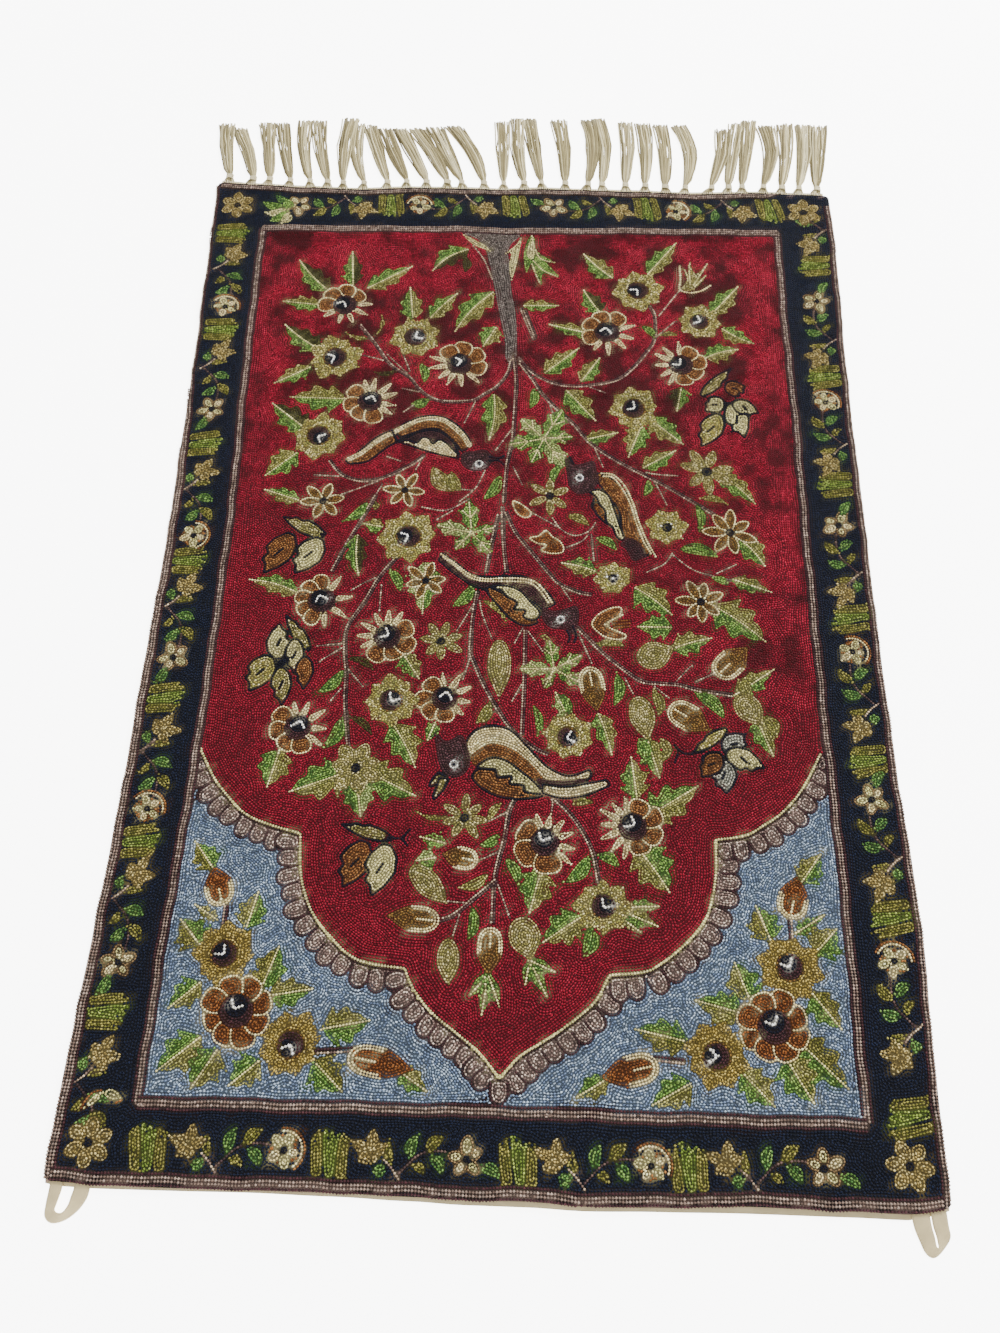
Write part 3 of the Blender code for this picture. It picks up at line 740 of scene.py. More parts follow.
patch([(14, 55), (22, 57), (28, 63), (33, 57), (41, 51), (43, 42), (33, 40), (24, 43), (29, 48), (20, 50)],
      "rust", "cream")
patch([(-1, 92), (7, 88), (15, 80), (11, 75), (4, 78), (0, 85)], "brown", "cream")

# %% Birds
# The first bird, arching over the left side.
banded([(-150, 129), (-135, 136), (-121, 150), (-109, 158)], (4, 14, 15, 14), "brown")
banded([(-150, 131), (-136, 140), (-123, 153), (-112, 161)], (5, 5), "cream", None)
banded([(-108, 160), (-96, 167), (-86, 172), (-76, 174), (-66, 172), (-57, 165), (-49, 156), (-43, 145)],
       (9, 13, 14, 14, 14, 14, 13, 11), "brown")
patch([(-106, 153), (-96, 158), (-86, 163), (-76, 165), (-68, 163), (-60, 157), (-54, 149), (-50, 135),
       (-62, 139), (-75, 144), (-92, 149)], "plum")
banded([(-110, 162), (-98, 170), (-87, 176), (-76, 178), (-66, 176), (-56, 169), (-47, 159), (-40, 147)],
       (5, 5), "cream", None)
patch([(-105, 152), (-95, 153), (-88, 151), (-84, 157), (-78, 156), (-74, 150), (-69, 155), (-63, 152),
       (-58, 147), (-50, 136), (-64, 138), (-78, 142), (-92, 147)], "cream", width=1.8)
row([(-112, 165), (-106, 152)], "ink", 2.6)
patch([(-46, 140), (-37, 142), (-27, 144), (-22, 136), (-25, 126), (-36, 123), (-46, 129)], "head", "plum")
strand([(-24, 138), (-14, 136), (-10, 139)], "ink", 2.2)
strand([(-24, 133), (-15, 134), (-10, 129)], "ink", 2.2)
ring_eye(-32, 130)
# The second bird, on the right, with its head up.
banded([(66, 120), (79, 114), (89, 100), (96, 80), (103, 58), (112, 38)], (6, 14, 18, 18, 16, 13), "brown")
banded([(68, 92), (77, 88), (84, 78), (90, 66)], (10, 20, 17, 6), "rust")
banded([(92, 52), (101, 50), (108, 36)], (8, 14, 13), "plum", None)
patch([(66, 103), (75, 105), (83, 98), (88, 82), (92, 68), (95, 55), (89, 57), (85, 68), (80, 72), (79, 84),
       (74, 90), (72, 97)], "pale cream")
strand([(75, 122), (86, 121), (96, 110), (103, 93), (108, 73), (114, 55), (122, 38)], "cream", 2.4)
strand([(77, 119), (86, 118), (94, 107), (101, 91), (106, 71), (112, 53), (118, 41)], "cream", 2.2)
patch([(45, 137), (52, 130), (60, 131), (69, 134), (71, 124), (73, 116), (68, 105), (56, 101), (49, 108),
       (47, 120)], "head", "plum")
strand([(52, 131), (48, 139)], "ink", 2.2)
ring_eye(57, 117)
# The third bird, in the middle, flying down to the right.
banded([(-62, 35), (-50, 25), (-36, 14), (-24, 10), (-8, 9), (10, 8), (24, -2), (32, -12)],
       (7, 9, 8, 12, 16, 17, 16, 12), "plum")
patch([(-20, 6), (-10, 2), (-2, -4), (8, -8), (14, -18), (22, -26), (10, -29), (-2, -22), (-12, -10),
       (-20, 0)], "brown")
patch([(-19, 6), (-6, 8), (6, 4), (15, -6), (24, -17), (19, -24), (10, -21), (12, -15), (2, -14), (5, -8),
       (-5, -2), (-8, 3)], "pale cream")
strand([(-62, 38), (-50, 29), (-36, 18), (-24, 14), (-8, 15), (8, 15), (19, 12), (27, 4), (34, -8)], "cream",
       2.5)
strand([(-60, 35), (-49, 26), (-36, 15), (-24, 12), (-8, 12), (8, 12), (17, 10), (24, 3), (31, -8)], "cream",
       2.3)
patch([(27, -12), (34, -16), (44, -14), (54, -11), (55, -24), (51, -35), (44, -31), (33, -30), (27, -22)],
      "head", "plum")
strand([(46, -32), (49, -39), (47, -44)], "ink", 2.2)
strand([(51, -28), (54, -37), (52, -44)], "ink", 2.2)
ring_eye(41, -23)
# The lowest bird, its long tail to the right.
banded([(-30, -146), (-20, -134), (-6, -132), (8, -144), (22, -156), (36, -163), (50, -165), (66, -156)],
       (14, 26, 24, 22, 18, 14, 11, 5), "cream")
banded([(-28, -150), (-14, -140), (1, -144), (16, -156), (27, -166)], (9, 11, 12, 12, 8), "brown", None)
banded([(22, -164), (36, -167), (50, -166), (62, -163)], (6, 7, 7, 4), "plum", None)
patch([(-24, -156), (-13, -148), (-1, -150), (10, -157), (20, -164), (29, -175), (14, -179), (-4, -178),
       (-18, -172), (-27, -163)], "brown")
patch([(-24, -154), (-13, -146), (-1, -148), (10, -156), (20, -164), (28, -174), (13, -173), (14, -168),
       (2, -167), (4, -161), (-8, -162), (-9, -156)], "pale cream")
banded([(27, -170), (42, -173), (58, -171), (80, -164)], (7, 9.5, 9, 5), "cream", "ink", 1.8)
patch([(-57, -128), (-50, -134), (-43, -131), (-37, -128), (-33, -137), (-30, -150), (-35, -160), (-46, -161),
       (-53, -150)], "head", "plum")
banded([(-50, -160), (-56, -166), (-60, -171)], (7, 6, 2), "straw")
banded([(-49, -163), (-52, -172), (-57, -181)], (7, 6, 2), "straw")
ring_eye(-42, -152)

# %% Butterflies
WINGS = (
    # base x, y, tip x, y, width, yarn
    (-162, 53, -199, 71, 14, "straw"), (-191, 54, -210, 17, 25, "brown"),
    (-166, 50, -184, 17, 25, "pale cream"), (-165, -56, -187, -25, 11, "straw"),
    (-190, -64, -192, -33, 21, "pale cream"), (-197, -62, -210, -92, 24, "gold"),
    (-178, -46, -176, -76, 16, "pale cream"), (-168, -62, -167, -90, 15, "brown"),
    (-187, -72, -183, -104, 17, "straw"), (-87, -213, -125, -203, 11, "straw"),
    (-107, -216, -121, -250, 24, "brown"), (-90, -218, -99, -256, 24, "pale cream"),
    (168, 207, 196, 239, 12, "straw"), (190, 214, 208, 219, 20, "brown"),
    (187, 203, 171, 192, 18, "pale cream"), (183, 188, 166, 154, 22, "gold"),
    (194, 200, 204, 164, 22, "pale cream"), (196, 200, 218, 190, 16, "pale cream"),
    (173, -117, 146, -138, 10, "gold"), (171, -137, 187, -122, 20, "grey"),
    (172, -137, 200, -149, 19, "pale cream"), (168, -143, 170, -170, 21, "grey"),
    (167, -138, 152, -157, 18, "brown"),
)
fill([(-193, -60), (-184, -60), (-178, -72), (-186, -77), (-192, -70)], "ink")
for x0, y0, x1, y1, width, yarn in WINGS:
    wing(x0, y0, x1, y1, width, yarn, slit=width > 15)
strand([(146, -139), (137, -138), (131, -131)], "ink", 2.0)
strand([(134, -139), (131, -147)], "ink", 2.0)
strand([(-86, -213), (-79, -212), (-73, -205)], "ink", 2.0)
strand([(-80, -212), (-74, -219)], "ink", 2.0)
for x, y in ((-164, 54), (-166, -55), (-89, -213)):
    disc(x, y, 2.6, "ink")
print("shapes with the tree:", len(yarn_of_shape))

# %% [markdown]
# ## The corners below the arch
#
# Both blue corners hold the same spray: a large rust flower between two gold ones, two buds
# and broad leaves. The right one is the left one's mirror, as the worker turned the drawing
# over, so its tables repeat the left ones with a few small slips of the hand.

# %% The sprays in the blue corners
for side, slip in ((-1, 0), (1, 4.8)):
    row([(side * 206 + slip, -267), (side * 206 + slip, -284)], "plum", 2.2)
    row([(side * 208 + slip, -267), (side * 208 + slip, -284)], "bark light", 2.2)
    row([(side * 104, -366), (side * 130, -368)], "plum", 2.2)
    row([(side * 104, -368.5), (side * 130, -370.5)], "bark light", 2.2)
CORNER_LEAVES = (
    # base x, y, tip x, y, width, left half, right half
    (-220, -240, -236, -220, 20, "gold green", "green"), (-211, -279, -231, -267, 9, "olive", "olive"),
    (-190, -284, -184, -256, 22, "olive", "green"), (-222, -298, -240, -278, 25, "gold green", "green"),
    (-218, -323, -240, -343, 20, "olive", "green"), (-174, -327, -164, -296, 24, "gold green", "green"),
    (-169, -332, -136, -326, 20, "olive", "green"), (-213, -361, -242, -386, 26, "olive", "green"),
    (-200, -369, -216, -397, 26, "olive", "green"), (-128, -354, -93, -347, 25, "olive", "green"),
    (-132, -375, -109, -396, 25, "gold green", "green"), (-169, -376, -190, -394, 22, "olive", "green"),
    (-72, -380, -50, -394, 16, "olive", "green"), (222, -240, 239, -217, 20, "olive", "green"),
    (214, -278, 238, -263, 10, "green", "green"), (197, -284, 187, -257, 24, "gold green", "green"),
    (228, -292, 246, -273, 26, "olive", "green"), (223, -319, 243, -345, 21, "gold green", "green"),
    (179, -327, 169, -299, 25, "olive", "green"), (175, -336, 139, -327, 23, "olive", "green"),
    (210, -352, 244, -385, 27, "gold green", "green"), (201, -364, 219, -395, 26, "olive", "green"),
    (134, -356, 95, -348, 23, "gold green", "green"), (135, -383, 106, -399, 22, "olive", "green"),
    (169, -374, 192, -398, 22, "olive", "green"), (76, -382, 54, -395, 16, "olive", "green"),
)
for place_and_look in CORNER_LEAVES:
    leaf(*place_and_look)
for x, y, mark in ((-204, -303, 40), (-149, -365, 150), (209, -302, 20), (153, -365, 80)):
    gold_flower(x, y, 22, mark, lobes=8, tone="corner gold", side=mark + 90)
for x, y, mark in ((-190, -343, 330), (195, -344, 20)):
    half_flower(x, y, 0, 27, petals=8, spikes=0, mark=mark, tone="rust", spread=360)
for x0, y0, x1, y1, width in ((-210, -267, -220, -237, 22), (212, -266, 221, -235, 22),
                              (-107, -372, -60, -380, 22), (111, -372, 70, -382, 22)):
    bud(x0, y0, x1, y1, width, "rust")

# %% [markdown]
# ## The border
#
# The border repeats one spray: a tuft of three leaves, a gold flower and a brown one on two
# stems that part from the guard. It is drawn once, in its own two directions: along the guard
# and in from it. Each side of the cloth then turns that drawing its own way, which is how the
# worker walked round the cloth.


# %% The border's repeat
def tuft(to, at, lean):
    """Three leaves side by side that rise from the guard."""
    left = [(-12, -1), (-13.5, 14), (-14, 26), (-11, 27), (-10.5, 22), (-9.5, 30), (-7, 30), (-6, 22),
            (-4.5, -1)]
    right = [(4, -1), (5, 18), (6, 28), (9, 29), (9.5, 22), (10.5, 27), (13, 26), (12.5, 15), (12, -1)]
    middle = [(-3, -1), (-5, 16), (-5.5, 31), (-2.5, 32), (-1.5, 24), (-0.5, 30), (2.5, 30), (3, 22), (4, 28),
              (6.5, 28), (4, 14), (3, -1)]
    for points, yarn in ((left, "gold green"), (right, "gold green"), (middle, "tuft green")):
        outline = np.array(points, float)
        outline[:, 0] += at + lean * np.clip(outline[:, 1] / 28, 0, 1)
        fill(to(outline), yarn)


def border_repeat(to, at, brown, slant):
    """One spray of the border about the place where its two stems part."""
    row(smooth(to([(at, 0), (at - 6, 8), (at - 12, 13)]), 2), "bark light", 2.1)
    row(smooth(to([(at - 1, 4), (at + 4, 9), (at + 13, 17), (at + 26, 20), (at + 36, 19)]), 2), "bark", 2.2)
    for u0, v0, u1, v1, width, yarn in (
        (-9, 7, -20, 6, 9, "border green"), (-6, 10, -8, 27, 7, "gold green"),
        (6, 13, 12, 31, 9, "border green"),
        (17, 18, 31, 30, 9, "gold green"), (20, 17, 30, 4, 9, "border green"), (8, 11, 18, 3, 7, "gold green"),
    ):
        (x0, y0), (x1, y1) = to([(at + u0, v0), (at + u1, v1)])
        small_leaf(x0, y0, x1, y1, width, yarn)
    for angle, reach in ((152, 18), (88, 18), (30, 13), (214, 12), (275, 8)):
        way = math.radians(angle)
        (x0, y0), (x1, y1) = to([(at - 20, 16), (at - 20 + reach * math.cos(way), 16 + reach * math.sin(way))])
        small_leaf(x0, y0, x1, y1, 9.0, "border gold", 0)
    if not brown:
        return
    (x, y), = to([(at + 45, 16)])
    size = 0.88 if brown == "ring" else 1.0
    if brown == "ring":
        fill(place(round_outline(10.5, 5, 0.16), x, y), "brown")
    for k in range(5):
        long = chance.uniform(0.85, 1.12) * size
        petal = [(1, -1.5), (6, -3.9), (11, -3.0), (14, 0), (11, 3.2), (6, 3.9), (1, 1.5)]
        petal = smooth(place(petal, x, y, slant + 72 * k + chance.uniform(-9, 9), long), 1.8, closed=True)
        fill(petal, "pale cream" if k % 3 else "cream")
        if brown != "ring":
            row(petal, "tan", 1.6, closed=True)
    disc(x, y, 3.0, "ink")
    if brown == "ring":
        arc = np.radians(np.linspace(-50, 110, 14) + slant)
        ring = np.stack([x + 12.4 * np.cos(arc), y + 12.4 * np.sin(arc)], 1)
        row(ring, "cream", 2.0)
        row((ring - (x, y)) * 1.16 + (x, y), "brown", 1.8)
    else:
        (x0, y0), (x1, y1) = to([(at + 54, 12), (at + 70, 3)])
        small_leaf(x0, y0, x1, y1, 9, "border green")


def side_direction(side):
    """The function that turns the border's own directions to the cloth's, for one side."""
    def to(points):
        along, inward = np.asarray(points, float).T
        if side == "near":
            return np.stack([along, near_edge(along) + 10 + inward], 1)
        if side == "far":
            return np.stack([-along, far_edge(-along) - 8.5 - inward], 1)
        if side == "left":
            return np.stack([left_edge(-along) + 7 + inward, -along], 1)
        return np.stack([right_edge(along) - 7 - inward, along], 1)
    return to


SPRAYS = (
    # side, where each spray's stems part, going round the cloth
    ("near", ((-191, "ring"), (-66, "cross"), (60, "ring"), (177, "cross"))),
    ("right",
     ((-341, "ring"), (-218, "cross"), (-92, "ring"), (28, "cross"), (158, "ring"), (276, "cross"), (412, ""))),
    ("far", ((-198, "ring"), (-77, "cross"), (57, "ring"), (178, "cross"))),
    ("left",
     ((-347, "ring"), (-229, "cross"), (-96, "ring"), (20, "cross"), (149, "ring"), (266, "cross"), (396, ""))),
)
TUFTS = (("near", (-238, -114, 16, 132)), ("right", (-399, -262, -139, -14, 115, 234, 366)),
         ("far", (-243, -122, 9, 132)), ("left", (-394, -274, -144, -25, 104, 222, 347)))
for side, places in TUFTS:
    for at in places:
        tuft(side_direction(side), at, chance.uniform(-5, -1) if side != "near" else chance.uniform(-3, 1))
for side, places in SPRAYS:
    for at, brown in places:
        border_repeat(side_direction(side), at, brown, chance.uniform(-20, 60))
for x, y in ((-281, -433), (280, -433), (-284, 433), (279, 434)):
    start = chance.uniform(0, 60)
    for k in range(6):
        lobe = [(1, -1.5), (8, -5.2), (14, -4.4), (18, 0), (14, 4.4), (8, 5.2), (1, 1.5)]
        fill(smooth(place(lobe, x, y, start + 60 * k), 2, closed=True), "border gold")
    disc(x, y, 3.6, "ink")
for x0, y0, x1, y1, yarn in ((-232, 431, -262, 440, "green"), (-232, 428, -258, 424, "pale cream"),
                             (-232, 426, -252, 412, "green"), (-230, 424, -240, 409, "pale cream"),
                             (-229, 430, -236, 444, "green")):
    small_leaf(x0, y0, x1, y1, 11, yarn)
fill([(-277, -401.5), (-272, -397), (-266, -399.5), (-262.5, -404), (-268, -406), (-273, -404.5)], "pale cream")
fill([(-276, -400.5), (-281, -401), (-286, -406.5), (-288.5, -412.5), (-283, -409.5), (-277.5, -404.5)],
     "pale cream")
strand([(-277, -399), (-283, -400.5), (-288, -406.5), (-290, -412)], "brown", 2.0)
strand([(-262, -405), (-267, -407.2)], "brown", 2.0)

# %% [markdown]
# ## The guards
#
# A guard is four rows worked side by side: plum, two of taupe, and plum. The outer guards turn
# under with the hem along part of the left side and at the far right corner, so there their
# outer rows run off the edge.


# %% The inner and outer guards
def sway(along):
    """The small wander of a row worked by hand."""
    return 0.45 * np.sin(along / 13) + 0.3 * np.sin(along / 5.3)


def guard(path, offsets, inward):
    """Rows side by side along a path; inward is 1 or -1 for the side they move to."""
    for offset, yarn, width in offsets:
        row(path + sideways(path) * (inward * offset + sway(path.sum(1))[:, None]), yarn, width)


INNER = ((-3.2, "plum", 2.0), (-1.1, "taupe", 2.2), (1.1, "taupe", 2.2), (3.2, "plum", 2.0))
INNER_WIDE = ((-3.9, "plum", 2.4), (-1.4, "taupe", 2.5), (1.2, "taupe", 2.5), (3.7, "plum", 2.3))
INNER_FAR = ((-3.2, "taupe", 2.4), (-0.8, "taupe", 2.4), (1.6, "taupe", 2.4), (3.7, "plum", 1.9))
guard(frame_left, INNER, 1)
guard(frame_right, INNER, 1)
guard(frame_far, INNER_FAR, -1)
guard(frame_near, INNER_WIDE, 1)

along_y, along_x = np.arange(-461.0, 463.0, 4.0), np.arange(-304.0, 303.0, 4.0)
turned = 4.6 * (1 - np.cos(np.pi * np.clip((along_y - 110) / 140, 0, 1))) / 2
for deep, yarn, width in ((1.0, "taupe", 2.2), (3.2, "taupe", 2.2), (5.4, "taupe", 2.2), (7.4, "plum", 1.9)):
    x = left_edge(along_y) + deep - turned + sway(along_y)
    row(np.stack([x, along_y], 1)[x - left_edge(along_y) > -1], yarn, width)
for deep, yarn, width in ((1.1, "taupe", 2.2), (3.3, "taupe", 2.2), (5.6, "plum", 2.0)):
    row(np.stack([right_edge(along_y) - deep - sway(along_y), along_y], 1)[along_y < 447], yarn, width)
wrap = 8 * (1 - np.cos(np.pi * np.clip((along_x - 240) / 22, 0, 1))) / 2
for deep, yarn, width in ((0.9, "dark brown", 1.8), (3.0, "taupe", 2.3), (5.3, "taupe", 2.3),
                          (7.5, "dark brown", 1.9)):
    y = far_edge(along_x) - deep + wrap - sway(along_x)
    row(np.stack([along_x, y], 1)[far_edge(along_x) - y > -1], yarn, width)
for deep, yarn, width in ((1.1, "plum", 2.2), (3.5, "taupe", 2.4), (5.9, "taupe", 2.4), (8.4, "plum", 2.4)):
    row(np.stack([along_x, near_edge(along_x) + deep + sway(along_x)], 1), yarn, width)
print("shapes in all:", len(yarn_of_shape), "rows worked singly:", len(single_rows))

# %% [markdown]
# ## From drawing to rows
#
# The worker starts each shape along its edge and works inwards, row beside row, until it is
# full. That is a distance: every place on the first row is half a row from the edge, on the
# second one and a half, and so on. So the next cells measure how far each cell is from the
# nearest edge of its shape, and follow the lines of equal distance. In Blender one could also
# draw each row by hand, but there are almost three hundred metres of rows in all.


# %% How far each cell is from an edge
def distance_from(sites, reach):
    """The distance in millimetres from each cell to the nearest site, up to a reach."""
    far = 1e4
    up = np.where(sites, 0.0, far).astype(np.float32)
    for r in range(1, ROWS):
        np.minimum(up[r], up[r - 1] + 1, out=up[r])
    for r in range(ROWS - 2, -1, -1):
        np.minimum(up[r], up[r + 1] + 1, out=up[r])
    up **= 2
    best = up.copy()
    for shift in range(1, int(reach / CELL) + 1):
        np.minimum(best[:, shift:], up[:, :-shift] + shift * shift, out=best[:, shift:])
        np.minimum(best[:, :-shift], up[:, shift:] + shift * shift, out=best[:, :-shift])
    return np.sqrt(best) * CELL


def soften(values, times):
    for _ in range(times):
        inner = values[1:-1, 1:-1]
        values[1:-1, 1:-1] = (4 * inner + values[:-2, 1:-1] + values[2:, 1:-1] + values[1:-1,
            :-2] + values[1:-1, 2:]) / 8
    return values


def cloudy(spacing, seed):
    """Soft random patches from -1 to 1 over the whole grid, about as wide as the spacing."""
    dice = np.random.default_rng(seed)
    step = spacing / CELL
    knots = dice.uniform(-1, 1, (int(ROWS / step) + 3, int(COLUMNS / step) + 3))
    r, c = np.arange(ROWS) / step, np.arange(COLUMNS) / step
    r0, c0 = r.astype(int), c.astype(int)
    fr, fc = (1 - np.cos(np.pi * (r - r0))) / 2, (1 - np.cos(np.pi * (c - c0))) / 2
    fr, fc = fr[:, None], fc[None, :]
    a, b = knots[r0][:, c0], knots[r0][:, c0 + 1]
    d, e = knots[r0 + 1][:, c0], knots[r0 + 1][:, c0 + 1]
    return (a * (1 - fc) + b * fc) * (1 - fr) + (d * (1 - fc) + e * fc) * fr


edge_cell = np.zeros(shape_at.shape, bool)
across, upward = shape_at[:, 1:] != shape_at[:, :-1], shape_at[1:] != shape_at[:-1]
edge_cell[:, 1:] |= across
edge_cell[:, :-1] |= across
edge_cell[1:] |= upward
edge_cell[:-1] |= upward
to_edge = distance_from(edge_cell, 45) + CELL / 2
to_edge = soften(to_edge, 3)
to_edge += np.clip(to_edge / 7, 0.08, 1) * 1.7 * cloudy(13, 5)
print("widest open ground:", round(float(to_edge.max() * 2)), "mm")

# %% Follow the lines of equal distance
ROW_PITCH, FIRST_ROW, STITCH_LONG = 1.9, 0.95, 2.4
level = (to_edge - FIRST_ROW) / ROW_PITCH
step_at = np.floor(level).astype(np.int32)
step_at[shape_at == 0] = -1


def crossing(ra, ca, rb, cb):
    """Where the higher of two neighbouring levels is crossed, as x and y."""
    la, lb = level[ra, ca], level[rb, cb]
    cut = np.maximum(step_at[ra, ca], step_at[rb, cb])
    share = np.clip((cut - la) / np.where(lb == la, 1, lb - la), 0, 1)
    return cell_x[ca] + (cell_x[cb] - cell_x[ca]) * share, cell_y[ra] + (cell_y[rb] - cell_y[ra]) * share


same_across = (step_at[:, 1:] != step_at[:, :-1]) & (np.maximum(step_at[:, 1:], step_at[:, :-1]) >= 0)
same_upward = (step_at[1:] != step_at[:-1]) & (np.maximum(step_at[1:], step_at[:-1]) >= 0)
same_across &= (shape_at[:, 1:] == shape_at[:, :-1])
same_upward &= (shape_at[1:] == shape_at[:-1])
number_across = np.full(same_across.shape, -1, np.int64)
number_across[same_across] = np.arange(same_across.sum())
number_upward = np.full(same_upward.shape, -1, np.int64)
number_upward[same_upward] = np.arange(same_upward.sum()) + same_across.sum()
ra, ca = np.nonzero(same_across)
rb, cb = np.nonzero(same_upward)
xa, ya = crossing(ra, ca, ra, ca + 1)
xb, yb = crossing(rb, cb, rb + 1, cb)
node_x, node_y = np.concatenate([xa, xb]), np.concatenate([ya, yb])

near_side, far_side = number_across[:-1], number_across[1:]
left_side, right_side = number_upward[:, :-1], number_upward[:, 1:]
sides = np.stack([near_side, right_side, far_side, left_side], -1).reshape(-1, 4)
sides = sides[(sides >= 0).sum(1) >= 2]
two = sides[(sides >= 0).sum(1) == 2]
pairs = np.sort(two, 1)[:, 2:]
four = sides[(sides >= 0).sum(1) == 4]
pairs = np.vstack([pairs, four[:, :2], four[:, 2:]])
ends = np.concatenate([pairs, pairs[:, ::-1]])
ends = ends[np.argsort(ends[:, 0], kind="stable")]
links = np.full((len(node_x), 2), -1, np.int64)
first = np.concatenate([[True], ends[1:, 0] != ends[:-1, 0]])
links[ends[first, 0], 0] = ends[first, 1]
links[ends[~first, 0], 1] = ends[~first, 1]

neighbours = links.tolist()
seen = bytearray(len(neighbours))
chains = []
starts = [i for i, (a, b) in enumerate(neighbours) if a >= 0 and b < 0]
for start in starts + list(range(len(neighbours))):
    if seen[start] or neighbours[start][0] < 0:
        continue
    chain, at, before = [start], start, -1
    seen[start] = 1
    while True:
        a, b = neighbours[at]
        after = a if a != before and a >= 0 and not seen[a] else (b if b >= 0 and not seen[b] else -1)
        if after < 0:
            break
        seen[after] = 1
        before, at = at, after
        chain.append(at)
    if len(chain) > 4 and start in neighbours[at]:
        chain.append(start)
    chains.append(chain)
print("rows found:", len(chains))


# %% Cut the rows into stitches
def cut_row(x, y, long):
    """The ends of each stitch along a row."""
    walked = np.concatenate([[0], np.cumsum(np.hypot(np.diff(x), np.diff(y)))])
    count = max(1, round(walked[-1] / long))
    at = np.linspace(0, walked[-1], count + 1)
    return np.interp(at, walked, x), np.interp(at, walked, y)


tails, heads, widths, row_numbers = [], [], [], []


def keep_stitches(xs, ys, width, shown=slice(None)):
    """Keeps the shown stitches of a row, with their width and the number of the row."""
    points = np.stack([xs, ys], 1)
    tails.append(points[:-1][shown])
    heads.append(points[1:][shown])
    widths.append(np.full(len(tails[-1]), width))
    row_numbers.append(np.full(len(tails[-1]), len(row_numbers)))


FILLED_WIDE, SINGLE_LONG, SHORTEST_ROW = 1.8, 2.3, 1.8
for chain in chains:
    x, y = node_x[chain], node_y[chain]
    if np.hypot(np.diff(x), np.diff(y)).sum() >= SHORTEST_ROW:
        keep_stitches(*cut_row(x, y, STITCH_LONG), FILLED_WIDE)
for path, number, width in single_rows:
    xs, ys = cut_row(path[:, 0], path[:, 1], SINGLE_LONG)
    halfway = cell_at((xs[:-1] + xs[1:]) / 2, (ys[:-1] + ys[1:]) / 2)
    keep_stitches(xs, ys, width * 1.02, shape_at[halfway] == number)
tail, head = np.vstack(tails), np.vstack(heads)
print("stitches in rows:", len(tail))

# %% [markdown]
# Where two fronts of rows meet in the middle of a shape, a narrow gap is left. The worker fills
# it with odd stitches, and so does this cell: it looks for ground that no stitch covers and
# puts single stitches along the gap.

# %% Fill the gaps between the rows
EDGE_ZONE = 3.0  # beside the cloth's edge the guards' own rows are enough
BARE_FROM = 1.25  # ground this far from every stitch counts as bare
ODD_HALF, ODD_WIDE = 1.1, 1.9  # half the length of an odd stitch, and its width
ODD_ALONG, ODD_ACROSS = 2.0, 1.6  # how far apart they lie, along the gap and across it
BUCKET = 3  # odd stitches are looked up in squares of this size
covered = np.zeros(shape_at.shape, bool)
for share in np.linspace(0.08, 0.92, 5):
    point = tail + (head - tail) * share
    covered[cell_at(*point.T)] = True
bare = distance_from(covered, 9)
bare[shape_at == 0] = 0
bare[cell_x[None, :] < left_edge(cell_y)[:, None] + EDGE_ZONE] = 0
bare[cell_x[None, :] > right_edge(cell_y)[:, None] - EDGE_ZONE] = 0
soft_bare = soften(bare.copy(), 2)
gy, gx = np.gradient(soft_bare)
jxx, jyy, jxy = (soften(v, 8) for v in (gx * gx, gy * gy, gx * gy))
along_gap = 0.5 * np.arctan2(2 * jxy, jxx - jyy) + np.pi / 2
rows_bare, columns_bare = np.nonzero(bare > BARE_FROM)
order = np.argsort(-bare[rows_bare, columns_bare] + chance.uniform(0, 0.3, len(rows_bare)))
taken, fill_tail, fill_head = {}, [], []


def too_close(x, y, key):
    """Whether another odd stitch lies too near already."""
    for i in (-1, 0, 1):
        for j in (-1, 0, 1):
            for ox, oy, oa in taken.get((key[0] + i, key[1] + j), ()):
                dx, dy = x - ox, y - oy
                u, v = dx * math.cos(oa) + dy * math.sin(oa), dy * math.cos(oa) - dx * math.sin(oa)
                if (u / ODD_ALONG) ** 2 + (v / ODD_ACROSS) ** 2 < 1:
                    return True
    return False


for index in order.tolist():
    r, c = int(rows_bare[index]), int(columns_bare[index])
    x, y = float(cell_x[c]), float(cell_y[r])
    key = (int(x // BUCKET), int(y // BUCKET))
    if too_close(x, y, key):
        continue
    angle = float(along_gap[r, c])
    taken.setdefault(key, []).append((x, y, angle))
    dx, dy = ODD_HALF * math.cos(angle), ODD_HALF * math.sin(angle)
    fill_tail.append((x - dx, y - dy))
    fill_head.append((x + dx, y + dy))
if fill_tail:
    tail, head = np.vstack([tail, fill_tail]), np.vstack([head, fill_head])
    widths.append(np.full(len(fill_tail), ODD_WIDE))
    row_numbers.append(len(row_numbers) + np.arange(len(fill_tail)))
width_of, row_of = np.concatenate(widths), np.concatenate(row_numbers)
middle = (tail + head) / 2
shape_of = shape_at[cell_at(*middle.T)]
keep = shape_of > 0
tail, head, middle, width_of, row_of, shape_of = (v[keep] for v in (tail, head, middle, width_of, row_of,
    shape_of))
print("odd stitches in gaps:", len(fill_tail), "stitches in all:", len(tail))
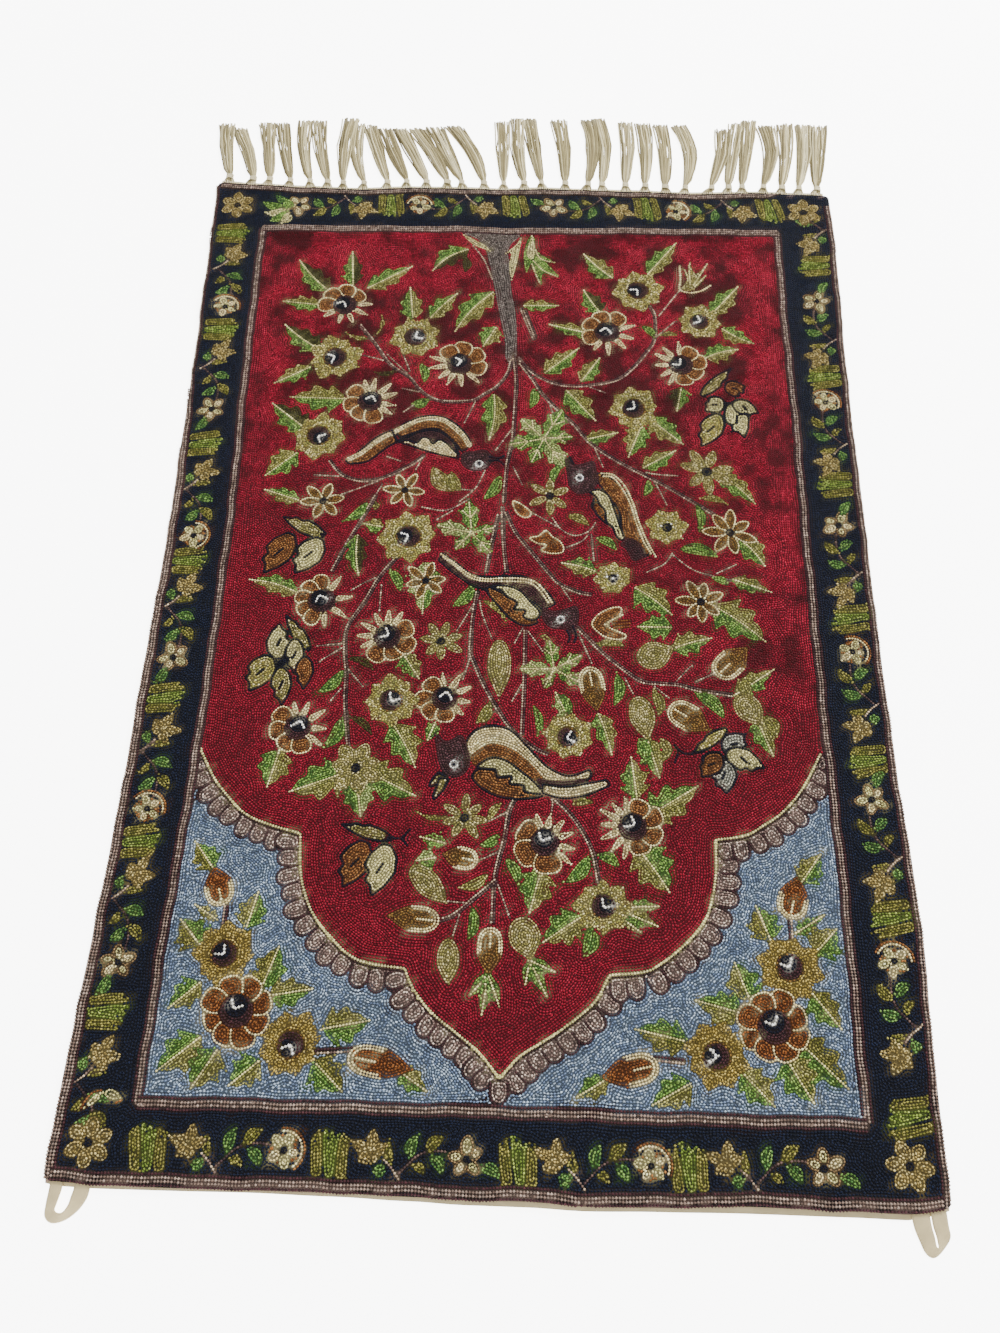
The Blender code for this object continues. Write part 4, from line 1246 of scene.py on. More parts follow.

# %% [markdown]
# ## The yarns
#
# Crewel wool is dyed by the skein, and each skein differs a little. So a stitch's colour is its
# yarn's colour, changed a little from row to row and from stitch to stitch. In the far half, and
# beside the right guard, the red carries painted sheen: dark maroon and vivid red blotches, as
# wide as two fingers, that stand for light caught by pile lying in different directions. Along
# two fold creases the colour is darkened as painted shade. Colours are written as the sRGB hex
# values that a paint program shows, and one function turns them to the linear values that
# Blender works in.


# %% The yarn colours and the colour of each stitch
def linear(hex_colour):
    """sRGB hex to linear red, green and blue."""
    parts = [int(hex_colour[i:i + 2], 16) / 255 for i in (1, 3, 5)]
    return tuple(p / 12.92 if p <= 0.04045 else ((p + 0.055) / 1.055) ** 2.4 for p in parts)


YARNS = {
    # one hex, or the shades that the stitches of a mixed yarn take at random
    "navy": ("#1B2338",), "ink": ("#14172A",), "red": ("#8E1F38", "#841A30"),
    "blue": ("#8797A9", "#707F97", "#A6B3C1"), "taupe": ("#7F6D63", "#928075", "#A08F84"),
    "taupe mix": ("#A08C82", "#C0B0A4", "#7C6963"), "plum": ("#4B3034",), "dark brown": ("#3D2C28",),
    "cream": ("#E0D3A8", "#CFC08F"), "pale cream": ("#D6CE9C", "#C2BC86"), "head": ("#5E4145", "#47302F"),
    "tan": ("#8C7656",), "white": ("#EDEAE0",), "bark": ("#4C3B3C", "#6B5852"),
    "bark light": ("#A8957F", "#7E6B62", "#BCAB94"), "bark mix": ("#6E645F", "#7A716B", "#867D76"),
    "green": ("#6C8E46", "#8EAA5E", "#4C6C38", "#82A050"), "pale green": ("#98A868", "#B2BC80"),
    "olive": ("#928E54", "#7A7A40", "#AAA66E"), "dark olive": ("#54532C", "#454622"),
    "gold": ("#B4AA72", "#958C4E", "#CCC496", "#9E9E5C"), "gold green": ("#827E42", "#6C6C34", "#989254"),
    "corner gold": ("#A3904E", "#8A7A40", "#B5A466"), "tuft green": ("#7E8E44", "#96A258", "#687A36"),
    "brown": ("#8A6038", "#704A2C", "#9A7044"), "brown olive": ("#846838", "#705430"),
    "rust": ("#84542C", "#704522", "#8E6036"), "straw": ("#A49B68", "#857F4A", "#BFB68A"),
    "border green": ("#648648", "#7E9C58", "#4E7040"), "border gold": ("#A59460", "#87784A", "#B6A878"),
    "grey": ("#9A9A8E", "#B2B0A0"),
}
PIECES = {
    # the yarns in each stitched piece; all the others are in figures_wool
    "border_wool": ("navy",), "field_wool": ("red",), "corner_wool": ("blue",),
    "guard_wool": ("taupe", "taupe mix", "plum", "dark brown"),
    "stem_wool": ("bark", "bark light", "bark mix"),
    "leaf_wool": ("green", "pale green", "olive", "dark olive", "tuft green", "border green", "gold green"),
}
piece_of_yarn = {yarn: piece for piece, yarns in PIECES.items() for yarn in yarns}
DEEPEN = 1.22  # the light pales every dye, so each is deepened a little
yarn_names = sorted(YARNS)
dyes = np.array([[linear(YARNS[name][k % len(YARNS[name])]) for k in range(6)] for name in yarn_names]) ** DEEPEN
yarn_index = np.array([0] + [yarn_names.index(name) for name in yarn_of_shape[1:]])
yarn_of = yarn_index[shape_of]
row_tone = chance.normal(1, 0.05, row_of.max() + 1)
colour = dyes[yarn_of, chance.integers(0, 6, len(tail))] * row_tone[row_of][:, None]
colour *= chance.normal(1.02, 0.27, len(tail)).clip(0.45, 1.8)[:, None]

at_middle = cell_at(*middle.T)
# Painted sheen on the red: light and dark blotches for pile catching the light, strongest in the far half and beside
# the right guard
patches = 0.6 * cloudy(30, 21) + 0.5 * cloudy(13, 22) + 0.2 * cloudy(5, 23)
patches = np.clip(patches * 2.7, -1, 1)[at_middle]
sheen_share = (1 - np.cos(np.pi * np.clip((middle[:, 1] - 20) / 230, 0, 1))) / 2
beside = np.clip((middle[:, 0] - 150) / 50, 0, 1) * np.clip((middle[:, 1] + 130) / 60, 0, 1)
sheen_share = np.maximum(sheen_share, 0.85 * beside)
is_red = yarn_of == yarn_names.index("red")
painted_sheen = np.where(patches > 0, 1 + 0.5 * patches, 1 + 0.76 * patches)
colour[is_red] *= (1 + (painted_sheen - 1) * (0.14 + 0.86 * sheen_share))[is_red][:, None]
# A broad random tone, then painted shade: the colour is darkened along two fold creases
tone_and_crease_shade = 1 + 0.10 * cloudy(30, 31)[at_middle]
for crease_x, crease_y, slope, long in ((165, 10, -0.10, 90), (140, 200, -0.06, 100)):
    off = middle[:, 1] - crease_y - slope * (middle[:, 0] - crease_x)
    along = np.clip(1 - np.abs(middle[:, 0] - crease_x) / long, 0, 1)
    tone_and_crease_shade = tone_and_crease_shade * (1 - 0.42 * np.exp(-(off / 4.5) ** 2) * np.minimum(along * 3, 1))
colour *= tone_and_crease_shade[:, None]
colour = np.clip(colour, 0.002, 0.9)
print("yarns:", len(YARNS))

# %% [markdown]
# ## One stitch, many times
#
# A chain stitch is a small loop: two legs of yarn that bow out and meet where the next loop
# comes through. One stitch is shaped here with a few vertices. Copying an object more than a
# hundred thousand times would choke Blender, so the one shape is repeated with arrays, and each group
# of yarns becomes one mesh. Geometry Nodes could do the same, but plain arrays let every stitch
# have its own length, width, tilt and colour in a few lines.

# %% Shape one stitch
stitch = bmesh.new()
SPOTS = {
    # along, across, up, each as a share of the stitch's length, width and height
    "tail": (-0.08, 0.0, 0.22), "head": (1.08, 0.0, 0.42), "left rim": (0.5, 0.5, 0.0),
    "right rim": (0.5, -0.5, 0.0), "crest": (0.55, 0.0, 1.0),
}
spot = {name: stitch.verts.new(at) for name, at in SPOTS.items()}
for a, b, c in (
    ("tail", "crest", "left rim"), ("left rim", "crest", "head"), ("tail", "right rim", "crest"),
    ("right rim", "head", "crest"), ("tail", "left rim", "head"), ("tail", "head", "right rim"),
):
    stitch.faces.new((spot[a], spot[b], spot[c]))
bmesh.ops.recalc_face_normals(stitch, faces=stitch.faces)
stitch.verts.ensure_lookup_table()
STITCH_SPOTS = np.array([v.co for v in stitch.verts])
STITCH_FACES = np.array([[v.index for v in face.verts] for face in stitch.faces])
stitch.free()
print("one stitch:", len(STITCH_SPOTS), "vertices,", len(STITCH_FACES), "faces")

# %% Repeat it along every row
STITCH_HIGH = 1.15
STITCH_BED = GROUND_UNDER + 1.6


def plan_map(mesh, points):
    """A UV map that looks straight down on the panel."""
    flat = np.empty((len(mesh.loops), 2), np.float32)
    corner = np.empty(len(mesh.loops), np.int32)
    mesh.loops.foreach_get("vertex_index", corner)
    flat[:, 0] = (points[corner, 0] / MM + 320) / 640
    flat[:, 1] = (points[corner, 1] / MM + 495) / 1065
    uv = mesh.uv_layers.new(name="OFBake")
    uv.data.foreach_set("uv", flat.ravel())


def add_object(name, data):
    piece = bpy.data.objects.new(name, data)
    bpy.context.scene.collection.objects.link(piece)
    return piece


def colour_points(mesh, colours):
    """Gives each point its yarn's colour, in the attribute that the materials read."""
    paint = mesh.color_attributes.new("yarn", "FLOAT_COLOR", "POINT")
    with_alpha = np.column_stack([colours, np.ones(len(colours))])
    paint.data.foreach_set("color", with_alpha.astype(np.float32).ravel())


def mesh_from(name, points, faces, colours):
    """A mesh object from arrays; faces all have the same number of corners."""
    mesh = bpy.data.meshes.new(name)
    corners = faces.shape[1]
    mesh.vertices.add(len(points))
    mesh.vertices.foreach_set("co", points.astype(np.float32).ravel())
    mesh.loops.add(faces.size)
    mesh.loops.foreach_set("vertex_index", faces.astype(np.int32).ravel())
    mesh.polygons.add(len(faces))
    mesh.polygons.foreach_set("loop_start", np.arange(0, faces.size, corners, dtype=np.int32))
    mesh.update(calc_edges=True)
    mesh.shade_smooth()
    colour_points(mesh, colours)
    plan_map(mesh, points)
    return add_object(name, mesh)


def work_stitches(name, chosen):
    """One mesh with every chosen stitch."""
    start, way = tail[chosen], head[chosen] - tail[chosen]
    long = np.maximum(np.hypot(way[:, 0], way[:, 1]), 0.8)
    way = way / np.maximum(np.hypot(way[:, 0], way[:, 1]), 1e-6)[:, None]
    side = np.stack([-way[:, 1], way[:, 0]], 1)
    count = len(start)
    high = STITCH_HIGH * chance.uniform(0.82, 1.0, count)
    wide = width_of[chosen] * 1.1 * chance.uniform(0.92, 1.08, count)
    lean = chance.normal(0, 0.05, count)
    along = STITCH_SPOTS[None, :, 0] * long[:, None]
    across = STITCH_SPOTS[None, :, 1] * wide[:, None] + lean[:, None] * along
    flat = start[:, None, :] + along[..., None] * way[:, None, :] + across[..., None] * side[:, None, :]
    bed = STITCH_BED + rise(flat[..., 0], flat[..., 1]) + tuck(flat[..., 0], flat[..., 1])
    up = bed + STITCH_SPOTS[None, :, 2] * high[:, None]
    points = np.concatenate([flat, up[..., None]], -1).reshape(-1, 3) * MM
    faces = (STITCH_FACES[None] + np.arange(count)[:, None, None] * len(STITCH_SPOTS)).reshape(-1, 3)
    colours = np.repeat(colour[chosen], len(STITCH_SPOTS), axis=0)
    piece = mesh_from(name, points, faces, colours)
    print(name, count, "stitches,", len(faces), "triangles")
    return piece


piece_names = np.array([piece_of_yarn.get(name, "figures_wool") for name in yarn_names])[yarn_of]
field_row = middle[:, 1]
groups = {name: piece_names == name for name in sorted(set(piece_names)) if name != "field_wool"}
is_field = piece_names == "field_wool"
cut_at = float(np.median(field_row[is_field]))
groups["field_wool_near"] = is_field & (field_row < cut_at)
groups["field_wool_far"] = is_field & (field_row >= cut_at)
stitched = [work_stitches(name, chosen) for name, chosen in groups.items()]

# %% [markdown]
# ## The ground cloth and the lining
#
# Between the stitches the cotton ground hardly shows, but it gives the work its body. Both
# cloths are grids bent to the outline and the rises, then thickened by Solidify, which keeps
# them real sheets. The ground's colour is painted shadow: a dark shade of whatever wool lies
# on it, for the shadow and the wool fluff seen between stitches. Its hem is the turned edge of
# the same cloth.


# %% Lay the ground cloth and the lining
CORNER_ROUND = 5.0


def sheet_from(bm, name, thick):
    """A bent grid as an object of its own, thickened upwards."""
    mesh = bpy.data.meshes.new(name)
    bm.to_mesh(mesh)
    bm.free()
    mesh.shade_smooth()
    piece = add_object(name, mesh)
    shell = piece.modifiers.new("thickness", "SOLIDIFY")
    shell.thickness = thick * MM
    shell.offset = 1.0
    return piece


def lay_cloth(name, near, thick, under, steps_x, steps_y, inset):
    """A sheet between the edges, with rounded corners; under gives its lower face's height."""
    bm = bmesh.new()
    bmesh.ops.create_grid(bm, x_segments=steps_x, y_segments=steps_y, size=1.0)
    for vert in bm.verts:
        u, v = vert.co.x, vert.co.y
        y = v * LENGTH / 2
        low, high = float(left_edge(y)) + inset, float(right_edge(y)) - inset
        x = low + (high - low) * (u + 1) / 2
        bottom, top = float(near(x)) + inset, float(far_edge(x)) - inset
        corner_x, corner_y = (1 - abs(u)) * WIDTH / 2, (1 - abs(v)) * LENGTH / 2
        y = bottom + (top - bottom) * (v + 1) / 2
        if corner_x < CORNER_ROUND and corner_y < CORNER_ROUND:
            a, b = CORNER_ROUND - corner_x, CORNER_ROUND - corner_y
            reach = math.hypot(a, b)
            if reach > CORNER_ROUND:
                x -= math.copysign(a - a * CORNER_ROUND / reach, x)
                y -= math.copysign(b - b * CORNER_ROUND / reach, y)
        vert.co = (x * MM, y * MM, float(under(x, y)) * MM)
    piece = sheet_from(bm, name, thick)
    points = np.empty((len(piece.data.vertices), 3))
    piece.data.vertices.foreach_get("co", points.ravel())
    plan_map(piece.data, points)
    return piece, points


ground, ground_points = lay_cloth(
    "ground_cloth", near_edge, 1.65, lambda x, y: rise(x, y) + tuck(x, y) + GROUND_UNDER, 100, 150, 0.4)
under_shape = shape_at[cell_at(ground_points[:, 0] / MM, ground_points[:, 1] / MM)]
# Painted shadow: the ground takes a fifth of the colour of the wool above it, and a dark brown where no shape lies
painted_shadow_colour = dyes[yarn_index[under_shape], 0] * 0.22
painted_shadow_colour[under_shape == 0] = linear("#6B5750")
colour_points(ground.data, painted_shadow_colour)
lining, _ = lay_cloth(
    "cotton_lining", lambda x: read_table(END_EDGES, 2, x), LINING_THICK, rise, 62, 92, 0.0)
print("ground", len(ground.data.polygons), "faces; lining", len(lining.data.polygons), "faces")

# %% [markdown]
# ## The fringe
#
# The fringe is bought by the metre: a narrow heading with bunches of yarn looped through it,
# each bunch tied in a knot. It has 31 tassels here. Each yarn is a thin four-sided tube along
# its own curve: it leaves the heading, is gathered into the knot and fans out to the cut end.
# The curves come from a table of where each tassel's root, knot, middle and end lie, and a
# little chance keeps the yarns from lying like combed hair.

# %% Where each tassel lies
TASSELS = (
    # root, knot, middle, end, reach, knot width, end width, in millimetres
    (-297, -297, -304, -309, 547, 8, 13), (-275, -273, -281.5, -295.5, 541, 8, 12),
    (-258, -256, -260.5, -266.5, 549, 7, 13), (-236, -235, -243, -251, 549, 6, 14),
    (-214, -215, -224, -227.5, 553, 6, 13), (-197, -197, -206, -213.5, 553, 7, 12),
    (-181, -181, -183.5, -179.5, 557, 6, 8), (-161, -160, -170.5, -171, 549, 6, 7),
    (-137, -136.5, -147.5, -160.5, 548, 7, 13), (-117, -117, -130, -143.5, 543, 6, 14),
    (-97, -97, -111, -128, 543, 7, 15), (-76, -76, -90.5, -112, 544, 8, 15),
    (-60, -61.5, -76, -93, 546, 6, 20), (-38, -39, -49, -73, 548, 7, 15),
    (-19, -19, -20, -22.5, 555, 5, 13), (2, 1.5, -4.5, -6.5, 560, 7, 12), (20, 19, 13.5, 5.5, 560, 5, 10),
    (43, 43, 42.5, 36, 559, 7, 15), (64, 66, 71.5, 66.5, 559, 6, 8), (81, 80, 84, 77, 561, 7, 10),
    (104, 103.5, 106.5, 105, 557, 7, 12), (123, 123.5, 126, 123, 555, 7, 10),
    (144, 143.5, 145.5, 141.5, 553, 8, 12), (162, 163.5, 171, 160.5, 553, 6, 13),
    (185, 190, 201, 206.5, 548, 6, 10), (205, 207, 212.5, 221, 557, 7, 12),
    (220, 220.5, 226, 233, 561, 6, 9), (241, 242, 252, 250, 554, 6, 17), (259, 260.5, 267, 271, 557, 7, 14),
    (276, 277.5, 285.5, 288, 556, 6, 12), (293, 295.5, 299.5, 305, 555, 7, 17),
)
HEADING_WIDTH, HEADING_ENDS = 4.0, (-304.0, 301.0)
KNOT_START, KNOT_END, ROOT_WIDTH = 2.5, 7.0, 11.0
YARNS_A_TASSEL, YARN_THICK, LAYER_HIGH = 24, 1.65, 0.72


def tubes(name, paths, radii, colours):
    """Closed four-sided tubes along paths that all have the same number of points."""
    paths = np.asarray(paths, float)
    count, rings = paths.shape[:2]
    way = np.gradient(paths, axis=1)
    way /= np.maximum(np.linalg.norm(way, axis=2), 1e-9)[..., None]
    up = np.zeros_like(way)
    up[..., 2] = 1.0
    side = np.cross(up, way)
    side /= np.maximum(np.linalg.norm(side, axis=2), 1e-6)[..., None]
    above = np.cross(way, side)
    radii = np.broadcast_to(np.asarray(radii, float), (count, rings))
    rim = []
    for k in range(4):
        angle = 2 * math.pi * (k + 0.5) / 4
        rim.append(paths + (side * math.cos(angle) + above * math.sin(angle)) * radii[..., None])
    points = np.stack(rim, 2).reshape(count, -1, 3)
    faces = []
    for ring in range(rings - 1):
        for k in range(4):
            a, b = ring * 4 + k, ring * 4 + (k + 1) % 4
            faces.append((a, b, b + 4, a + 4))
    last = (rings - 1) * 4
    faces = np.array(faces + [(0, 3, 2, 1), (last + 1, last + 2, last + 3, last)])
    every = (faces[None] + np.arange(count)[:, None, None] * rings * 4).reshape(-1, 4)
    return mesh_from(name, points.reshape(-1, 3) * MM, every, np.repeat(colours, rings * 4, axis=0))


# %% Knot and comb the tassels
FRINGE_TONES = [linear(h) for h in ("#B4A97F", "#9E926A", "#887D57", "#C6BC94", "#766B49")]
yarn_paths, yarn_radii, yarn_tones, wraps, wrap_tones = [], [], [], [], []
for root, knot, mid, end, reach, knot_wide, end_wide in TASSELS:
    heading = float(far_edge(root)) + GAP + HEADING_WIDTH
    knot_y = heading + KNOT_END
    stray = chance.normal(0, 1, (YARNS_A_TASSEL, 6))
    for k in range(YARNS_A_TASSEL):
        share = (k + 0.5) / YARNS_A_TASSEL * 2 - 1
        layer = k % 3
        cut = reach - abs(stray[k, 0]) * 2.2 + 1.0
        lift = 1.05 + layer * LAYER_HIGH
        across = share * (0.92 if layer == 0 else 0.8)
        ys = np.array([heading - 2.5, heading + KNOT_START, heading + 4.6, knot_y + 1, knot_y + 9, 0, 0, 0,
                       cut])
        ys[5:8] = knot_y + 9 + (cut - knot_y - 9) * np.array([0.28, 0.52, 0.77])
        t = np.clip((ys - knot_y) / (reach - knot_y), 0, 1)
        places, values = np.array([0.0, (505 - knot_y) / (reach - knot_y), 1.0]), (knot, mid, end)
        centre = sum(v * np.prod([(t - places[j]) / (places[i] - places[j]) for j in range(3) if j != i],
                                 axis=0)
                     for i, v in enumerate(values))
        spread = knot_wide * 0.48 + (max(end_wide, 14) + 4.5 - knot_wide) * 0.5 * np.clip(t, 0, 1) ** 0.6
        xs = centre + across * (spread + 0.8 * np.sin(np.pi * t) ** 2)
        xs[0] = root + share * ROOT_WIDTH * 0.5
        xs[1] = (root + knot) / 2 + share * ROOT_WIDTH * 0.33
        xs[2] = knot + across * knot_wide * 0.34
        xs[3] = knot + across * knot_wide * 0.30
        xs[4:] += stray[k, 1:6] * (0.25, 0.45, 0.6, 0.7, 0.9)
        zs = np.array([1.1, 1.3, 1.6, 1.7, lift + 0.5, lift + 0.25, lift, lift, 1.1 + 0.5 * layer])
        fine = np.linspace(0, len(xs) - 1, 13)
        path = np.stack([np.interp(fine, np.arange(len(xs)), v) for v in (xs, ys, zs)], 1)
        yarn_paths.append(path)
        yarn_radii.append(np.linspace(YARN_THICK * 0.5, YARN_THICK * 0.56, 13) * (0.85 + 0.3 * chance.random()))
        # Painted shade: the yarns on each tassel's left side are darkened, as if lit from the right
        shade = 0.78 if share < -0.5 else 1.0
        yarn_tones.append(np.array(FRINGE_TONES[chance.integers(0, 5)]) * shade * chance.uniform(0.88, 1.08))
    for k, tilt in enumerate((-0.6, 0.5, -0.3, 0.7, 0.1)):
        turn = np.linspace(0, 2 * np.pi, 13)
        ring = np.stack([knot + np.cos(turn) * knot_wide * 0.44, heading + 3.0 + k * 0.95 + tilt * np.cos(turn),
                         1.9 + np.sin(turn) * 1.35], 1)
        wraps.append(ring)
        wrap_tones.append(np.array(linear("#BFB591")) * chance.uniform(0.9, 1.05))
fringe_yarns = tubes("fringe_tassels", yarn_paths, yarn_radii, np.array(yarn_tones))
fringe_knots = tubes("fringe_knots", wraps, 0.72, np.array(wrap_tones))
print("fringe yarns:", len(yarn_paths), "knot turns:", len(wraps))

# %% [markdown]
# The heading is a narrow woven band. Its cords run the whole length of the fringe, and between
# them small loops of yarn go over and under, so it is made of long tubes and many short ones.

# %% Weave the heading
heading_x = np.linspace(HEADING_ENDS[0], HEADING_ENDS[1], 241)
cords, cord_tones = [], []
for offset, height in ((0.75, 0.8), (2.0, 0.95), (3.25, 0.8)):
    cords.append(np.stack([heading_x, far_edge(heading_x) + GAP + offset,
                           np.full(241, height) + 0.08 * np.sin(heading_x)], 1))
    cord_tones.append(np.array(linear("#DCD1AE")))
heading_cords = tubes("heading_cords", cords, 0.62, np.array(cord_tones))
HEADING_TONES = [linear(h) for h in ("#E2D8B8", "#D2C7A4", "#C4B892", "#DAD0AE")]
loops, loop_tones = [], []
for x in np.arange(HEADING_ENDS[0] + 1, HEADING_ENDS[1] - 1, 1.9):
    base = float(far_edge(x)) + GAP
    slope = chance.uniform(0.2, 1.2)
    loops.append([(x, base + 0.35, 0.5), (x + slope * 0.3, base + 0.9, 1.45),
                  (x + slope * 0.6, base + 2.0, 1.65),
                  (x + slope * 0.8, base + 3.1, 1.45), (x + slope, base + 3.75, 0.5)])
    loop_tones.append(np.array(HEADING_TONES[chance.integers(0, 4)]) * chance.uniform(0.9, 1.1))
heading_loops = tubes("heading_loops", loops, 0.55, np.array(loop_tones))
print("heading loops:", len(loops))

# %% [markdown]
# ## The tape loops
#
# The panel hangs from two loops of flat cotton tape, about eleven millimetres wide. The left
# one lies open, twisted so that its inner edge stands up, and the right one is folded flat to a
# point. Each is a band between its outer and its inner edge: a grid with a few lines across the
# tape, moved onto the curves, then thickened with Solidify.

# %% Lay the two tapes
LEFT_LOOP = (
    # outer x, y, z, inner x, y, z
    (-303.5, -450, 1.3, -295, -450, 1.3), (-303.4, -456, 1.3, -294.9, -456, 1.3),
    (-303.3, -462.6, 1.3, -294.8, -462.6, 1.3), (-304, -472, 0, -296, -470.5, 2.4),
    (-303.2, -479.5, 0, -296.2, -475, 4.2), (-298, -483, 0, -293.8, -476.8, 4.8),
    (-289.5, -480.8, 0, -290.6, -476.2, 4.8), (-282, -475, 0, -288, -472, 4.4),
    (-277.2, -468, 0.4, -287.2, -467, 3.2), (-275.8, -462.6, 1.3, -286.6, -462.6, 1.4),
    (-275.9, -456, 1.3, -286.5, -456, 1.3), (-276, -450, 1.3, -286.4, -450, 1.3),
)
RIGHT_LOOP = (
    (278.3, -450, 1.3, 289.8, -450, 1.3), (278.6, -467.4, 1.3, 290.6, -467.4, 1.3),
    (282.4, -479, 0, 292.2, -475.5, 0.6), (285.4, -485.6, 0, 292.6, -480.6, 1.4),
    (290.2, -487.8, 0, 293.1, -481.6, 1.8), (296.4, -483.4, 0, 293.7, -481.2, 1.8),
    (302.6, -475.8, 0, 293.3, -475, 0.9), (302, -467.4, 1.3, 291.6, -467.4, 1.3),
    (301.3, -450, 1.3, 290.8, -450, 1.3),
)


TAPE_LONG, TAPE_WIDE, TAPE_SHEET = 80, 11, 0.85


def tape_loop(name, rows):
    """A tape between its outer and its inner edge."""
    rows = np.array(rows, float)
    sections = []
    earlier = np.vstack([2 * rows[0] - rows[1], rows])
    later = np.vstack([rows[2:], 2 * rows[-1] - rows[-2]])
    for four in zip(earlier, rows, rows[1:], later):
        for t in np.linspace(0, 1, 6, endpoint=False):
            sections.append(between(*four, t))
    sections.append(rows[-1])
    bm = bmesh.new()
    bmesh.ops.create_grid(bm, x_segments=len(sections) - 1, y_segments=6, size=1.0)
    tape_uv = bm.loops.layers.uv.new("tape")  # a map in millimetres, along the tape and across it
    where = {}
    for vert in bm.verts:
        section = sections[round((vert.co.x + 1) / 2 * (len(sections) - 1))]
        share = (vert.co.y + 1) / 2
        where[vert] = ((vert.co.x + 1) / 2 * TAPE_LONG, share * TAPE_WIDE)
        x, y, z = section[:3] * (1 - share) + section[3:] * share
        vert.co = (x * MM, y * MM, (max(z, 0.0) + 0.25 * math.sin(math.pi * share)) * MM)
    for face in bm.faces:
        for corner in face.loops:
            corner[tape_uv].uv = where[corner.vert]
    print(name, len(sections), "sections")
    return sheet_from(bm, name, TAPE_SHEET)


tape_left = tape_loop("tape_loop_left", LEFT_LOOP)
tape_right = tape_loop("tape_loop_right", RIGHT_LOOP)

# %% [markdown]
# ## The finishes
#
# Everything here is yarn, so no surface is glossy and nothing is a single colour. Wool scatters
# light from countless fibre ends: it is rough, with a faint sheen at the edges of each loop.
# Cotton is smoother and paler. The patterns read Object coordinates or a UV map, so that they
# stay put on the cloth, and their scales come from real sizes: a crewel yarn's plies show
# every 0.7 mm, cotton cloth has about 20 threads to the centimetre.


# %% Wool, cotton and tape
def node(tree, kind, inputs=None, **settings):
    """Adds one node with its settings, and values or links for its inputs."""
    made = tree.nodes.new(kind)
    for key, value in settings.items():
        setattr(made, key, value)
    for key, value in (inputs or {}).items():
        if isinstance(value, bpy.types.NodeSocket):
            tree.links.new(value, made.inputs[key])
        else:
            made.inputs[key].default_value = value
    return made


def finish(name, roughness, sheen):
    material = bpy.data.materials.new(name)
    material.use_nodes = True
    tree = material.node_tree
    shader = tree.nodes["Principled BSDF"]
    shader.inputs["Roughness"].default_value = roughness
    shader.inputs["Specular IOR Level"].default_value = 0.12
    shader.inputs["Sheen Weight"].default_value = sheen
    shader.inputs["Sheen Roughness"].default_value = 0.5
    return material, tree, shader


def wear(tree, shader, base, shade, height, strength, depth):
    """Ends a finish: the base colour times its shade, and a height that lifts the surface."""
    mixed = node(tree, "ShaderNodeVectorMath", {0: base, 1: shade}, operation="MULTIPLY")
    tree.links.new(mixed.outputs[0], shader.inputs["Base Color"])
    bump = node(tree, "ShaderNodeBump", {"Height": height, "Strength": strength, "Distance": depth})
    tree.links.new(bump.outputs["Normal"], shader.inputs["Normal"])


def crewel_wool():
    """Two-ply crewel wool, dyed in the skein: the plies break each leg into small lights and
    darks, and loose fibres blur it."""
    material, tree, shader = finish("crewel wool, two-ply, dyed", 0.88, 0.02)
    spot = node(tree, "ShaderNodeTexCoord").outputs["Object"]
    paint = node(tree, "ShaderNodeAttribute", attribute_name="yarn")
    plies = node(tree, "ShaderNodeTexNoise", {"Vector": spot, "Scale": 1400.0, "Detail": 2.0, "Roughness": 0.6})
    tone = node(tree, "ShaderNodeMapRange",
                {"Value": plies.outputs["Fac"], "From Min": 0.3, "From Max": 0.7, "To Min": 0.8,
                 "To Max": 1.16})
    fibres = node(tree, "ShaderNodeTexNoise", {"Vector": spot, "Scale": 3600.0, "Detail": 1.0})
    wear(tree, shader, paint.outputs["Color"], tone.outputs["Result"], fibres.outputs["Fac"], 0.35, 0.0003)
    return material


def cotton_yarn():
    """Undyed two-ply cotton: the twist shows as fine lights, and the yarn has greyed unevenly
    with age."""
    material, tree, shader = finish("cotton yarn, undyed, two-ply", 0.8, 0.08)
    spot = node(tree, "ShaderNodeTexCoord").outputs["Object"]
    paint = node(tree, "ShaderNodeAttribute", attribute_name="yarn")
    twist = node(tree, "ShaderNodeTexNoise", {"Vector": spot, "Scale": 1200.0, "Detail": 2.0})
    tone = node(tree, "ShaderNodeMapRange",
                {"Value": twist.outputs["Fac"], "From Min": 0.3, "From Max": 0.7, "To Min": 0.78,
                 "To Max": 1.12})
    age = node(tree, "ShaderNodeTexNoise", {"Vector": spot, "Scale": 60.0, "Detail": 1.0})
    grey = node(tree, "ShaderNodeMapRange",
                {"Value": age.outputs["Fac"], "From Min": 0.3, "From Max": 0.7, "To Min": 0.86, "To Max": 1.06})
    both = node(tree, "ShaderNodeMath", {0: tone.outputs["Result"], 1: grey.outputs["Result"]},
                operation="MULTIPLY")
    wear(tree, shader, paint.outputs["Color"], both.outputs[0], twist.outputs["Fac"], 0.5, 0.0003)
    return material


